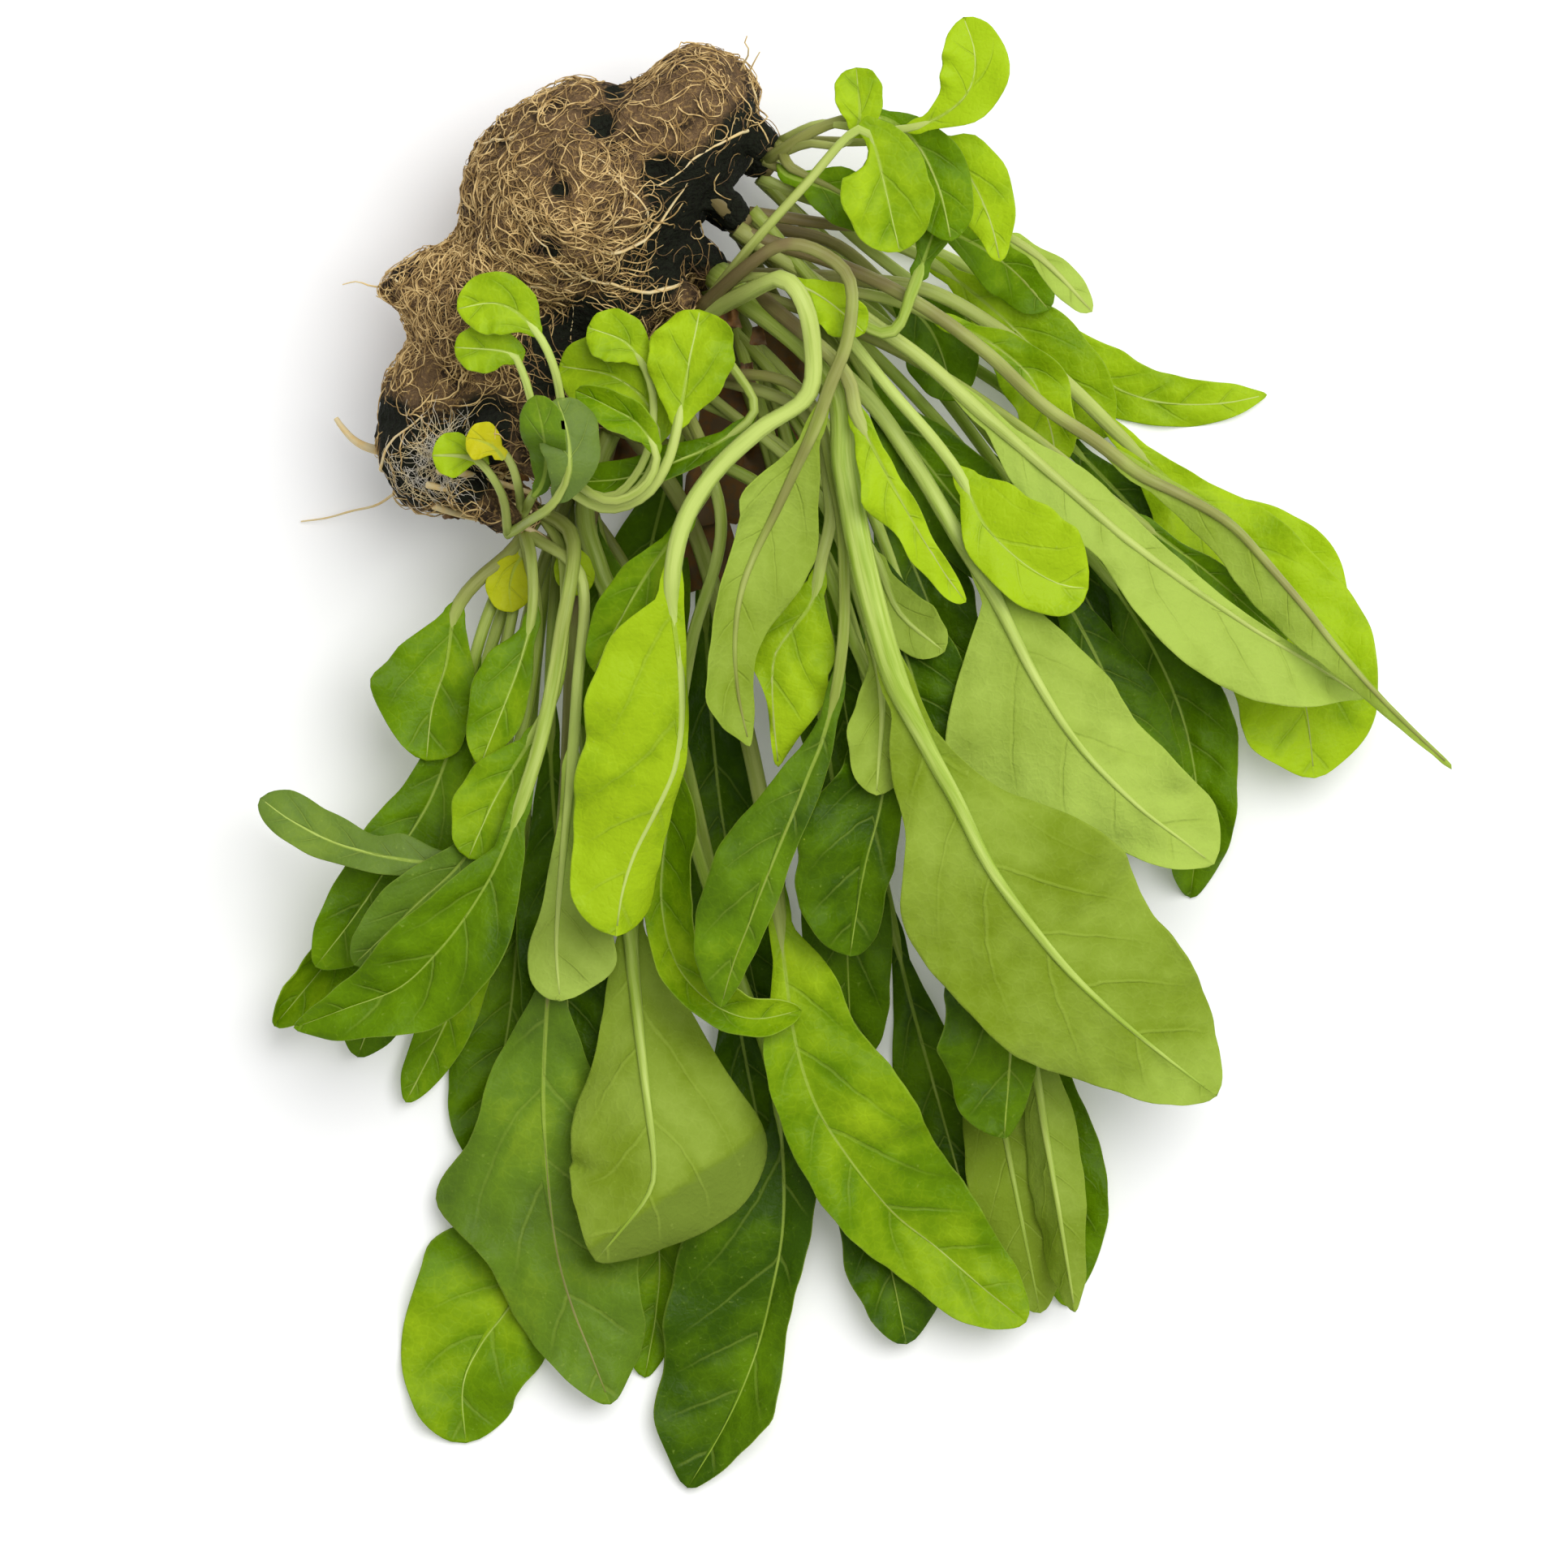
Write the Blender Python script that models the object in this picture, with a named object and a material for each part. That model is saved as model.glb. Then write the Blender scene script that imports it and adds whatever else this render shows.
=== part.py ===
"""A bunch of young arugula, lifted from its pot with the root ball and laid on its side.

The root ball rests on a small flat spot at the origin. Thirteen plants grow from the face of the ball
that was its top. Each is one solid: a crown rooted in a hole in the soil, with all its leaves.
Run it with blender --background --python part.py, or from the text editor.
"""

import math
from types import SimpleNamespace

import bmesh
import bpy
import numpy as np
from mathutils import Vector, noise
from mathutils.bvhtree import BVHTree

MM = 0.001

# Leaf solids, in millimetres
BLADE_THICKNESS = 0.7
RIB_AT_BLADE = 1.1
RIB_AT_TIP = 0.25
BLADE_STATION = 11.0
PETIOLE_STATION = 16.0
LEAST_ON_PETIOLE = 4
LEAST_ON_BLADE = 4
SMALL_STATION = 8.0
SMALL_LEAF = 18.2
EDGE_WAVES = 3.2
EDGE_CUT = 0.028

# How the leaves lie on each other, in millimetres
CELL = 1.0
PILE_LOW = (-75.0, -235.0)
PILE_SIZE = (250, 300)
GAP = 0.75
BEND_RADIUS = 60.0
FREE_OF_SOIL = 26.0
FREE_SHARE = 0.35
FREE_OF_OWN = 15.0
LAYING_ROUNDS = 7
MOST_DEFICIT = 0.02
STEEPEST_CLIMB = 1.3

# Crowns and the soil that they stand in, in millimetres
FACE_OUT = Vector((0.78, -0.62, 0.0))
CROWN_RADIUS = 3.6
ROOT_DEPTH = 13.0
HOLE_CLEARANCE = 0.4
SOIL_LEVELS = 4
SOIL_KEPT = 0.27
LUMP_HEIGHT = 2.2
LUMP_SIZE = 13.0
ROOT_STRANDS = 13
STRAND_RADIUS = 0.75
STRAND_STEPS = 8
STRAND_STEP = 5.5

# The root ball's lumps: centre x, y, z, then half lengths along its own axes, then its turn in degrees
SOIL_LUMPS = (
    (23.3, 24.2, 31, 11.7, 15.6, 27, 0),
    (2.5, 12.5, 30, 22, 18.7, 28, 45),
    (-24.5, -3.4, 30, 11, 5, 8, 18),
    (-15, -8, 26, 14, 11, 22, 60),
    (-23, -31, 23, 12, 15.5, 20, 10),
    (-8, -22, 22, 14, 14, 19.5, 0),
    (8, -3, 22.5, 16, 12, 20, 30),
    (1, -1, 12, 18, 15, 15, 40),
)
# Dents in the root ball between its lumps: x, y, radius in the plan and depth
SOIL_DENTS = ((10.8, 36.0, 5.0, 4.5),)
SOIL_CENTRE = Vector((-3, -3, 27))


# The usual outline of a blade half: shares of its greatest width, at even steps from the stalk to the tip
SPOON = (0.12, 0.3, 0.55, 0.8, 0.97, 1.0, 0.92, 0.72, 0.4)


def leaf(name, blade, left, right, sides, route, face="upper", curl=(0, 0), wave=1.0, stalk=1.15):
    """One leaf. blade is the blade's length. left and right are its halves, seen from the crown: the
    greatest width, or widths at even steps from the stalk to the tip. sides are the angles in degrees
    at which the halves rise from the midrib, and curl what they gain on the way to the edge. route
    runs from the crown to the tip, as x, y and where it is held up a least height."""
    halves = [np.array(half) if isinstance(half, tuple) else half * np.array(SPOON)
              for half in (left, right)]
    return SimpleNamespace(name=name, blade=blade, halves=halves, width=[half.max() for half in halves],
                           sides=sides, route=route, face=face, curl=curl, wave=wave, stalk=stalk)


def plant(name, crown, *leaves):
    return SimpleNamespace(name=name, crown=crown, leaves=leaves)


# From the lowest in the pile to the highest. Each plant lies on those before it.
PLANTS = (
    plant(
        "plant_right_lowest", (35, 17, 9),
        leaf("a", 49, (1, 2.2, 4, 6, 5.6, 5.3, 4.3, 3.3, 1.2), (1, 2.5, 4.5, 5.5, 5, 4.2, 3.8, 2.7, 1),
             (12, -8), ((57, 6), (70, 0), (80, -7), (86, -12), (92, -18), (98, -22), (106, -24),
                        (115, -24), (123, -22.5))),
        leaf("b", 42, (1, 2, 3, 5, 6.5, 7.5, 7, 5, 2), 9, (6, 8),
             ((62, -4), (85, -18), (100, -33), (114, -44), (124, -50), (131, -54), (137, -58.5))),
        leaf("c", 58, 8.5, 8.5, (8, -6),
             ((58, -8), (79, -23), (93, -36), (106, -50), (117, -62), (124, -76))),
        leaf("d", 42, 8, 8, (8, -6), ((52, 6), (63, 1), (75, -8), (86, -19), (95, -30))),
        leaf("e", 46, 9, 9, (6, 4), ((56, -10), (73, -32), (84, -48), (92, -60), (99, -76))),
    ),
    plant(
        "plant_right_under", (30, 7, 11),
        leaf("a", 60, (1, 3, 6, 8, 8.5, 8, 7, 5, 3), (1, 4, 8, 10, 10, 9, 7, 5, 2.5), (10, 18),
             ((60, -14), (82, -40), (97, -58), (106, -74), (110, -88), (110.5, -100), (109.5, -111)),
             wave=1.5),
        leaf("b", 54, 8, 8, (-10, 14), ((58, -20), (77, -42), (88, -60), (96, -76), (101, -90), (102, -104))),
        leaf("c", 50, 7.5, 7.5, (5, 10), ((54, -24), (69, -48), (80, -68), (88, -86), (94, -103))),
        leaf("d", 40, 8, 8, (8, 12), ((44, -20), (54, -38), (62, -56), (69, -74)), wave=1.4),
        leaf("e", 24, 6.5, 6.5, (10, 6), ((46, 4), (56, -4), (64, -12), (68, -24))),
        leaf("f", 46, 8.5, 8.5, (6, 10), ((46, -10), (56, -26), (67, -40), (80, -56))),
    ),
    plant(
        "plant_middle_lowest", (25, -4, 9),
        leaf("a", 62, 8, 8, (14, -8), ((42, -40), (52, -92), (59, -124), (65, -146), (70, -164), (74, -178))),
        leaf("b", 60, 11, (1, 3, 5, 6.5, 7.5, 8, 8, 6.5, 4), (-10, 20),
             ((38, -44), (44, -96), (48, -132), (52, -156), (56.5, -175), (59.5, -189.5)), wave=1.6),
        leaf("c", 66, (1, 3, 5, 6, 7, 8, 7.5, 5, 2), 8, (8, 12),
             ((47, -40), (68, -90), (77, -122), (83, -145), (87.5, -164), (88, -183))),
        leaf("d", 62, 8, 8, (-6, 5), ((44, -42), (60, -90), (70, -120), (75, -143), (79, -164), (83, -184)),
             face="under"),
        leaf("e", 52, (1, 3, 4.5, 5.5, 5.5, 5, 4, 3, 1.2), 8, (-4, -58),
             ((50, -36), (67, -86), (76, -118), (81, -136), (84, -153), (86.5, -168), (89, -183.5)),
             face="under"),
        leaf("f", 78, 9, 9, (8, 10), ((24, -30), (24, -58), (27, -96), (35, -137))),
        leaf("g", 56, 9, 9, (6, 10), ((22, -22), (18, -36), (13, -58), (11, -86))),
        leaf("h", 66, 9, 9, (8, 6), ((34, -18), (40, -36), (46, -62), (52, -98))),
        leaf("i", 56, 9.5, 9.5, (6, 6), ((42, -28), (53, -52), (61, -74), (68, -100))),
        leaf("j", 60, 8, 8, (6, 8), ((36, -32), (43, -68), (48, -104), (50, -142))),
    ),
    plant(
        "plant_left_lowest", (1, -36, 9),
        leaf("a", 58, 9.5, 9.5, (10, 8), ((-5, -64), (-8, -104), (-10, -130), (-13, -146), (-16, -158))),
        leaf("b", 50, 5, 5, (12, -6), ((-7, -62), (-12, -93), (-16, -116), (-21, -132), (-28.5, -147))),
        leaf("c", 54, (1, 4, 6, 8, 9, 11, 10, 8.5, 6), (1, 5, 10, 16, 18, 15.5, 12.5, 9.5, 6), (8, 6),
             ((2, -64), (4, -104), (4, -138), (2, -158), (-2, -168), (-6, -177), (-11, -184),
              (-15.5, -190), (-18.5, -197), (-18, -207))),
        leaf("d", 58, 5, 8, (16, 10), ((6, -64), (9, -110), (13, -146), (16, -172), (15.5, -184),
                                       (13.5, -195.5))),
        leaf("e", 56, 8.5, 8.5, (10, 12), ((14, -62), (26, -110), (31, -138), (35, -158), (38, -177))),
        leaf("f", 70, (1, 6, 6, 5, 4.6, 6, 7.7, 5, 2.5), (1, 8, 14, 18, 17.5, 17, 14.5, 11.7, 5), (30, 5),
             ((10, -62), (25, -110), (35, -138), (37, -148), (38, -160), (37.8, -170), (36, -180),
              (33.8, -189), (30.5, -198), (26.5, -206), (21, -215)), wave=0.8),
        leaf("g", 66, 8.4, 8.4, (6, 8), ((-2, -56), (-3, -84), (-1, -114), (1, -148))),
        leaf("h", 40, 8, 8, (8, 6), ((4, -46), (6, -60), (8, -84))),
    ),
    plant(
        "plant_left_under", (-6, -44, 12),
        leaf("a", 48, 7, 8, (6, 10), ((-14, -80), (-23, -106), (-31, -124), (-37, -139))),
        leaf("b", 58, 8, (1, 2, 3.5, 5, 6, 7, 7, 6, 3), (24, 26),
             ((-13, -66), (-19, -86), (-28, -103), (-38, -117), (-46, -127), (-51.5, -133.5)), curl=(26, 60)),
        leaf("c", 58, 9, 7, (4, 12), ((-14, -62), (-19, -80), (-24, -94), (-31, -105), (-37, -114),
                                      (-44, -123))),
        leaf("d", 38, (0.7, 2.5, 3, 3.2, 3.5, 3.7, 3.5, 2.5), (0.7, 3.5, 4.5, 3.5, 4.5, 5, 5, 3.5), (16, -14),
             ((-11, -70), (-12.5, -90), (-16, -101), (-22, -104.5), (-30, -104), (-40, -101.5),
              (-48, -97.5, 10), (-53.5, -93.5, 12)), stalk=1.0),
    ),
    plant(
        "plant_middle_under", (8, -27, 17),
        leaf("a", 78, (1.3, 5.5, 9, 13, 15, 15, 13, 10, 4.5), (1.3, 5, 10, 13.5, 19.5, 13, 10, 7, 3.5),
             (-4, -6), ((2, -56), (0, -92), (-2.5, -118), (-3.8, -134), (-4.2, -147), (-3.5, -160),
                        (-2, -172.5),
              (0.5, -182), (4, -191), (7.5, -200)), stalk=1.5, wave=1.2),
        leaf("b", 44, 5, 12, (-16, 6), ((42, -46), (57, -88), (70, -115), (77, -133), (76.5, -153)),
             wave=2.0),
        leaf("c", 88, (1, 8, 11.5, 14.5, 15.5, 13.6, 11, 8, 4.5), (1, 2.5, 5.7, 7, 8.6, 8.5, 8.5, 7.5, 4.5),
             (8, 12), ((22, -46), (31, -80), (36, -105), (38, -122), (40, -136), (43.5, -147), (49, -156),
                       (57, -166), (65, -172.5), (73, -179.5), (80.5, -185.5)), wave=1.2, stalk=1.6),
        leaf("d", 46, (1, 3, 4, 4.5, 5, 4.5, 3.5), (1, 6, 10, 13, 13, 10, 5.5), (16, 18),
             ((38, -42), (50, -66), (56, -82), (55, -94), (52, -106), (49.5, -121)), wave=2.0),
        leaf("e", 64, (1.5, 5, 9, 12.5, 17, 20.5, 16, 8, 3.5), (1.5, 4, 6, 9, 13, 15, 15.5, 12, 5.5),
             (-6, -4), ((3, -42), (5.5, -53), (9.5, -64), (11, -88), (11, -114), (12.3, -131), (14, -146),
                        (15.3, -158), (13.5, -164), (5, -174.5)), face="under", curl=(-18, -22), wave=0.7,
             stalk=1.9),
    ),
    plant(
        "plant_left_over", (-6, -45, 22),
        leaf("a", 36, 6, 6, (10, 14), ((-5, -64), (-9, -87), (-17, -103), (-26, -112), (-37, -122.5))),
        leaf("b", 26, (2, 3.5, 5, 6, 6.8, 6.5, 4.5), (2, 6, 9.5, 11.5, 10.5, 6.5, 3), (12, 8),
             ((-10, -51), (-16, -56), (-19.5, -61), (-21, -70), (-23.5, -78), (-24.5, -87)), stalk=1.3),
        leaf("c", 27, (1, 1.5, 2.5, 3.5, 4, 4, 2.5, 1.2), (1, 3, 6, 6.5, 6.5, 5.5, 4, 1.8), (20, 4),
             ((-5, -50), (-5.5, -60), (-8, -70), (-11, -78), (-15, -88)), stalk=1.0),
        leaf("d", 24, (0.8, 3, 4, 4.5, 4.5, 4, 3), (0.8, 3.5, 5.5, 6.5, 6.5, 5, 3), (12, 6),
             ((-1, -54), (-1, -72), (-6, -83), (-12, -93), (-17, -104)), stalk=1.0),
        leaf("e", 41, (1, 1.5, 2.5, 4, 6, 9, 10.5, 9.5, 5.5), (1, 1, 1.5, 2, 2.5, 3.2, 4.5, 5.3, 4), (2, -8),
             ((3, -54), (2, -74), (1, -88), (-0.5, -103), (-1.8, -118), (-1.2, -129)), face="under",
             stalk=1.1),
        leaf("f", 58, (1, 4, 6.5, 9.5, 10.5, 9.5, 7.2, 5.2, 2), (1, 1.5, 5.5, 8.3, 9.5, 9.3, 6.5, 3.5, 1.5),
             (14, 28), ((0.5, -50), (-1, -66), (-4, -82), (-8, -95), (-12, -105), (-17, -113.5),
                        (-22.5, -120.5), (-29, -126.5), (-38, -130), (-47.5, -133.5)), stalk=1.4),
        leaf("g", 12, 4.2, 4.2, (6, 6), ((-7, -50), (-9, -53), (-10, -57), (-9.5, -61)), stalk=0.75),
        leaf("h", 11, 3.5, 3.5, (6, 6), ((-2, -47), (0, -50), (1, -53), (3, -58)), stalk=0.75),
    ),
    plant(
        "plant_middle", (17, -19, 25),
        leaf("a", 20, 5, 5, (10, 14), ((40, -34), (53, -50), (58, -61), (66, -68)), face="under", stalk=1.0),
        leaf("b", 26, 6, 6, (-12, 16), ((42, -38), (52, -62), (55, -76), (54, -93)), face="under", stalk=1.0),
        leaf("c", 62, (1, 5, 7, 7, 7, 7, 6.5, 5, 3.5), (1, 2.5, 3.5, 4, 4, 4, 4, 4, 3), (10, 24),
             ((27, -44), (22, -66), (19, -84), (17.5, -98), (16.5, -111), (19, -122), (25, -129),
              (32.5, -132), (41, -130.5)), curl=(60, 20)),
        leaf("d", 34, (1, 3.5, 7.5, 10, 10, 9.5, 7, 3.5, 1.2), (1, 7.5, 9, 8, 4, 1.5, 0.9, 0.9, 0.6),
             (4, -10),
             ((41, -26), (46, -42), (44.5, -52), (42.8, -59.5), (39.5, -64), (36.5, -68.5), (36, -74),
              (36.3, -80), (37, -88)), stalk=1.2),
        leaf("e", 58, (1, 2, 3, 3, 3, 3.2, 3.2, 2.5, 1.2), (1, 2.3, 4.5, 7, 9, 10, 9.5, 6.8, 3), (16, -6),
             ((40, -22), (47, -40), (48.5, -58), (47.5, -72), (44.8, -83), (42.3, -89.5), (39.5, -96.5),
              (36.8, -103), (34, -110), (31.5, -116.5), (29, -123), (27, -130)), stalk=1.1),
        leaf("f", 30, 8, 5, (8, -6), ((25, -36), (22, -44), (16, -52), (11, -60), (5, -71.5)), stalk=1.1),
    ),
    plant(
        "plant_right_over", (27, -2, 30),
        leaf("a", 70, (1.5, 3, 5.5, 9, 12, 14, 14.2, 12, 5.5), (1.5, 5, 9, 12, 13, 13, 12, 11, 6), (4, 8),
             ((51, -3), (66, -6), (84, -18), (98, -31), (108, -40), (117, -50), (124, -62), (129, -75),
              (131, -90)), stalk=1.4, wave=1.3),
        leaf("b", 34, 5.5, 5.5, (14, 10), ((54, -6), (65, -10), (74, -14), (81, -20), (84, -27), (86, -36)),
             stalk=1.1, wave=2.2),
        leaf("c", 63, (1.5, 6, 9.3, 10.8, 11, 10.5, 10, 9.5, 6.5), (1.5, 9, 16, 21, 18.5, 12.7, 9, 6, 2.5),
             (-6, -4), ((50, -21), (60, -34), (69, -49), (74, -57), (77.5, -64), (81, -71), (85, -78),
                        (89.5, -84.5), (95, -90.5), (101, -96), (107, -100.5), (113, -105)),
             face="under", stalk=1.6),
        leaf("d", 92, (1.2, 3, 7, 17, 20, 19, 16.5, 12.5, 7), (1.2, 7, 11, 17, 19, 18, 14.5, 9.5, 4.5),
             (-5, -8), ((46, -20), (48.5, -36), (52, -54), (57, -72), (62.6, -84), (68, -94), (73.5, -105),
              (80.5, -115), (88, -124), (96.5, -132), (105, -139), (113.5, -145.5)),
             face="under", stalk=2.5, wave=1.2),
        leaf("e", 36, (1, 1.5, 2, 2, 2, 1.5, 1.5, 1), (1, 3.5, 5.5, 5.5, 4, 3.5, 3, 2), (8, 14),
             ((47, -18), (50.5, -27), (54, -34), (58, -41.5), (62, -48.5), (65.5, -54), (69.5, -59.5)),
             wave=2.6, stalk=1.4),
        leaf("f", 32, 3.2, 3.2, (30, 10), ((57, -15), (78, -28), (97, -43), (112, -54), (126, -66)),
             stalk=1.1),
    ),
    plant(
        "plant_right_high", (31, 7, 37),
        leaf("a", 26, 5.5, 5.5, (10, 6), ((50, 6), (60, 7.5), (70, 4), (78, -1), (84.5, -8)), stalk=1.1),
        leaf("b", 84, (1, 2.5, 4.5, 4, 3, 2, 1.5, 1.2, 0.6), (1, 5, 7, 5.8, 9, 11.8, 11.3, 8.2, 1.8),
             (-8, 10), ((51, -9), (62, -17), (72, -26), (80, -33), (88, -40), (96, -47), (104.5, -53.5),
              (113, -59.5), (121.5, -65), (130, -70), (139.5, -76)), face="under", stalk=1.4),
        leaf("c", 30, (3, 7, 9.5, 10.5, 11, 10.5, 9, 5.5), (1, 3, 5, 6, 6.5, 6.5, 6, 4), (16, 12),
             ((48, -12), (57, -23), (64, -31), (69, -38), (73, -46), (79, -52), (85.5, -56), (91, -57)),
             wave=0.9),
        leaf("d", 77, (0.8, 0.9, 1, 1, 1, 0.9, 0.8, 0.6, 0.4), (1, 3.5, 5.5, 6.8, 6, 4, 2.2, 1.2, 0.5),
             (-50, -16), ((57, -5), (72, -15), (83, -25), (92, -31), (100, -37), (108, -41), (116, -46),
                          (122.5, -53), (128.5, -60), (134, -67), (141, -75), (148, -82), (155, -88.5)),
             face="under", stalk=1.3),
        leaf("e", 14, 3.2, 3.2, (8, 8), ((44, -5), (53, -12), (57.5, -12), (60, -6), (63, 2), (66, 11)),
             stalk=1.2),
    ),
    plant(
        "plant_top_right", (36, 19, 38),
        leaf("a", 18, 2.8, 2.8, (-14, 8), ((57, 8), (69, 7), (77, 4), (84, -1), (91.5, -9)),
             face="under", stalk=0.8),
        leaf("b", 24, (1, 5, 6.3, 6, 5, 3, 1.5), (1, 3, 5, 5, 4, 2.5, 1.5), (14, -10),
             ((50, 20), (60, 21), (66, 19.5), (71, 13), (74, 6), (75.5, -0.5)), stalk=0.9),
        leaf("c", 28, 6, 6, (8, -12), ((46, 24), (55, 24.5), (61, 20), (65, 12), (67, 3)), stalk=1.0),
        leaf("d", 24, 6, 6, (10, 12), ((44, 22.5), (53, 22), (60, 22.5, 44), (66, 25, 48), (70, 29, 51),
                                       (71, 35, 54), (69, 41.5, 56)), stalk=0.8),
        leaf("e", 11, (2, 3.5, 4.2, 4, 2.5), (2, 3.5, 4.2, 4, 2.5), (10, 10),
             ((43, 21), (48, 20, 44), (51, 23.5, 48), (50.5, 33, 51)), stalk=0.75),
        leaf("f", 18, 5, 5, (10, 12), ((38, 15), (43, 13), (48, 11), (54, 6)), stalk=0.9),
    ),
    plant(
        "plant_middle_high", (23, -9, 32),
        leaf("a", 36, (0.8, 2, 2.8, 2.8, 2.8, 2, 1), (0.8, 2.2, 3.5, 3.6, 3.5, 2.6, 1.2), (34, -16),
             ((30, -19), (33, -26), (28, -31), (20, -35), (10, -38.2), (0, -38.6), (-4, -38.5)), stalk=0.9),
        leaf("b", 16, 4, 4.5, (10, 16), ((30, -4), (38, -4), (45, -7), (52, -13)), wave=2.2, stalk=0.8),
        leaf("c", 62, (1, 1.5, 1.7, 1.9, 2.4, 3.6, 5.5, 7, 6), (1.3, 11.5, 15.5, 16.5, 16.5, 15, 12, 9.5, 7),
             (-40, -4),
             ((33, -5, 44), (38, -3.5, 47), (41.5, -8, 48), (43, -16, 46), (42, -24, 44), (34, -29.5),
              (26, -37), (20.5, -46), (18.5, -57), (19.5, -68), (20, -79), (18.9, -88), (15.5, -96),
              (12, -103), (9.8, -110), (8.7, -117.5)), stalk=1.7),
        leaf("d", 58, (1, 4.6, 7.5, 10, 9.5, 6, 3.5, 2.5, 1.2), (1, 3.5, 8, 5.5, 4.5, 5, 6, 6, 1.5), (-6, 10),
             ((31, -2, 44), (38, 2.2, 49), (45, 0.5, 51), (49.5, -4.5, 50), (49, -14), (46, -22),
              (43.5, -29), (40, -36.5), (36.5, -44), (33, -51), (30.5, -58), (29.5, -66), (30, -75),
              (32, -84.5)), face="under", curl=(0, 50), stalk=1.25),
        leaf("e", 21, (3, 6, 7.6, 8, 7.6, 6, 3), (3, 6, 7.6, 8, 7.6, 6, 3), (6, 14),
             ((33, 3, 46), (42, 13, 49), (48.5, 20.5, 51), (51.7, 22.2, 52), (53.6, 19.5, 52.5),
              (55.5, 12, 52), (58, 1, 50)), stalk=0.9),
    ),
    plant(
        "plant_left_high", (-1, -38, 31),
        leaf("b", 22, (2.5, 5, 6.5, 6.5, 6, 3), (3, 5.5, 7, 7, 6, 3.5), (14, 10),
             ((7, -42), (13, -39.5), (16, -33), (14.5, -25.5), (8.5, -20.5), (-1, -18.5)), stalk=0.8),
        leaf("g", 11, (2, 4, 4.8, 4.5, 2.5), (2, 4, 4.8, 4.5, 2.5), (16, 8),
             ((7, -41.5), (12, -38), (15, -31), (15, -22), (11, -15), (4, -12)), stalk=0.75),
        leaf("c", 19, (2, 5, 7, 7.5, 6, 3.5), (2, 5, 7, 7.5, 7, 4), (-6, 10),
             ((7, -43), (14, -41), (18, -35), (20, -27), (21.5, -19), (23.5, -9)), stalk=1.0, wave=1.6),
        leaf("a", 17, (1, 3, 4, 4, 3, 1.5), (1, 3, 4, 4, 3, 1.5), (24, 30),
             ((7, -42.5), (13.5, -40), (16, -34.5), (13, -29), (8, -26), (2, -23)), curl=(10, 20),
             stalk=0.8),
        leaf("f", 11, (2, 3.6, 4.2, 3.8, 2), (2, 3.6, 4.2, 3.8, 2), (8, 8),
             ((-5, -26), (-7, -20), (-9.5, -16.5, 51), (-19, -15.5, 51)), stalk=0.75),
        leaf("e", 15, (1.5, 4.5, 5.5, 5, 2), (1.5, 4.5, 5.5, 5, 2), (8, 8),
             ((-1, -24), (-3, -16), (-7, -10.5, 54), (-12, -8, 55), (-18.5, -9, 53)), stalk=0.8),
    ),
)

SEEDLINGS = (
    plant(
        "seedling_left", (-9, -46, 34),
        leaf("a", 9, 4, 4, (6, 6), ((-10, -40), (-14, -35), (-18, -34), (-23, -34)), stalk=0.75),
        leaf("b", 7, 3.5, 3.5, (6, 6), ((-9, -41), (-10, -36), (-12.5, -32.5), (-17, -31)), stalk=0.75),
        leaf("c", 17, (2, 4, 5, 5, 3), (2, 4.5, 5.5, 5.5, 3), (10, -18),
             ((-6, -44.5), (-1.5, -42), (1, -37.5), (0.8, -31), (-1.2, -24.5)), stalk=0.8),
        leaf("d", 16, (1, 3, 4, 4, 2), (1, 3, 4, 4, 2), (-20, 24),
             ((-7, -43), (-4, -39.5), (-3, -35), (-3.6, -29.5), (-4.8, -24)), stalk=0.8),
    ),
)


def resampled(points, spacing):
    """A smooth curve through the points, at about even spacing, with its distance along the plan."""
    points = np.array(points, float)
    ends = np.vstack((2 * points[0] - points[1], points, 2 * points[-1] - points[-2]))
    fine = []
    for i in range(1, len(ends) - 2):
        before, start, stop, after = ends[i - 1:i + 3]
        t = np.linspace(0, 1, 12, endpoint=False)[:, None]
        fine.append(0.5 * (2 * start + (stop - before) * t
                           + (2 * before - 5 * start + 4 * stop - after) * t ** 2
                           + (3 * start - before - 3 * stop + after) * t ** 3))
    fine = np.vstack(fine + [points[-1:]])
    along = np.concatenate(([0], np.cumsum(np.linalg.norm(np.diff(fine[:, :2], axis=0), axis=1))))
    count = max(4, round(along[-1] / spacing))
    wanted = np.linspace(0, along[-1], count + 1)
    return np.column_stack([np.interp(wanted, along, fine[:, k]) for k in range(3)]), wanted


def half_width(leaf, side, b):
    """A blade half's width at share b of its length: a smooth line through its widths, with a few
    shallow cuts and a rounded tip."""
    widths = leaf.halves[side]
    padded = np.concatenate((widths[:1], widths, widths[-1:]))
    at = np.clip(b, 0, 1) * (len(widths) - 1)
    k = np.minimum(np.floor(at), len(widths) - 2).astype(int)
    t = at - k
    before, start, stop, after = (padded[k + n] for n in range(4))
    line = 0.5 * (2 * start + (stop - before) * t + (2 * before - 5 * start + 4 * stop - after) * t ** 2
                  + (3 * start - before - 3 * stop + after) * t ** 3)
    tip = np.sqrt(1 - np.clip((b - 0.9) / 0.1, 0, 1) ** 2)
    cut = 1 + EDGE_CUT * leaf.wave * np.sin(2 * np.pi * EDGE_WAVES * b + 2 * side + leaf.blade)
    return line * tip * cut


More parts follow.
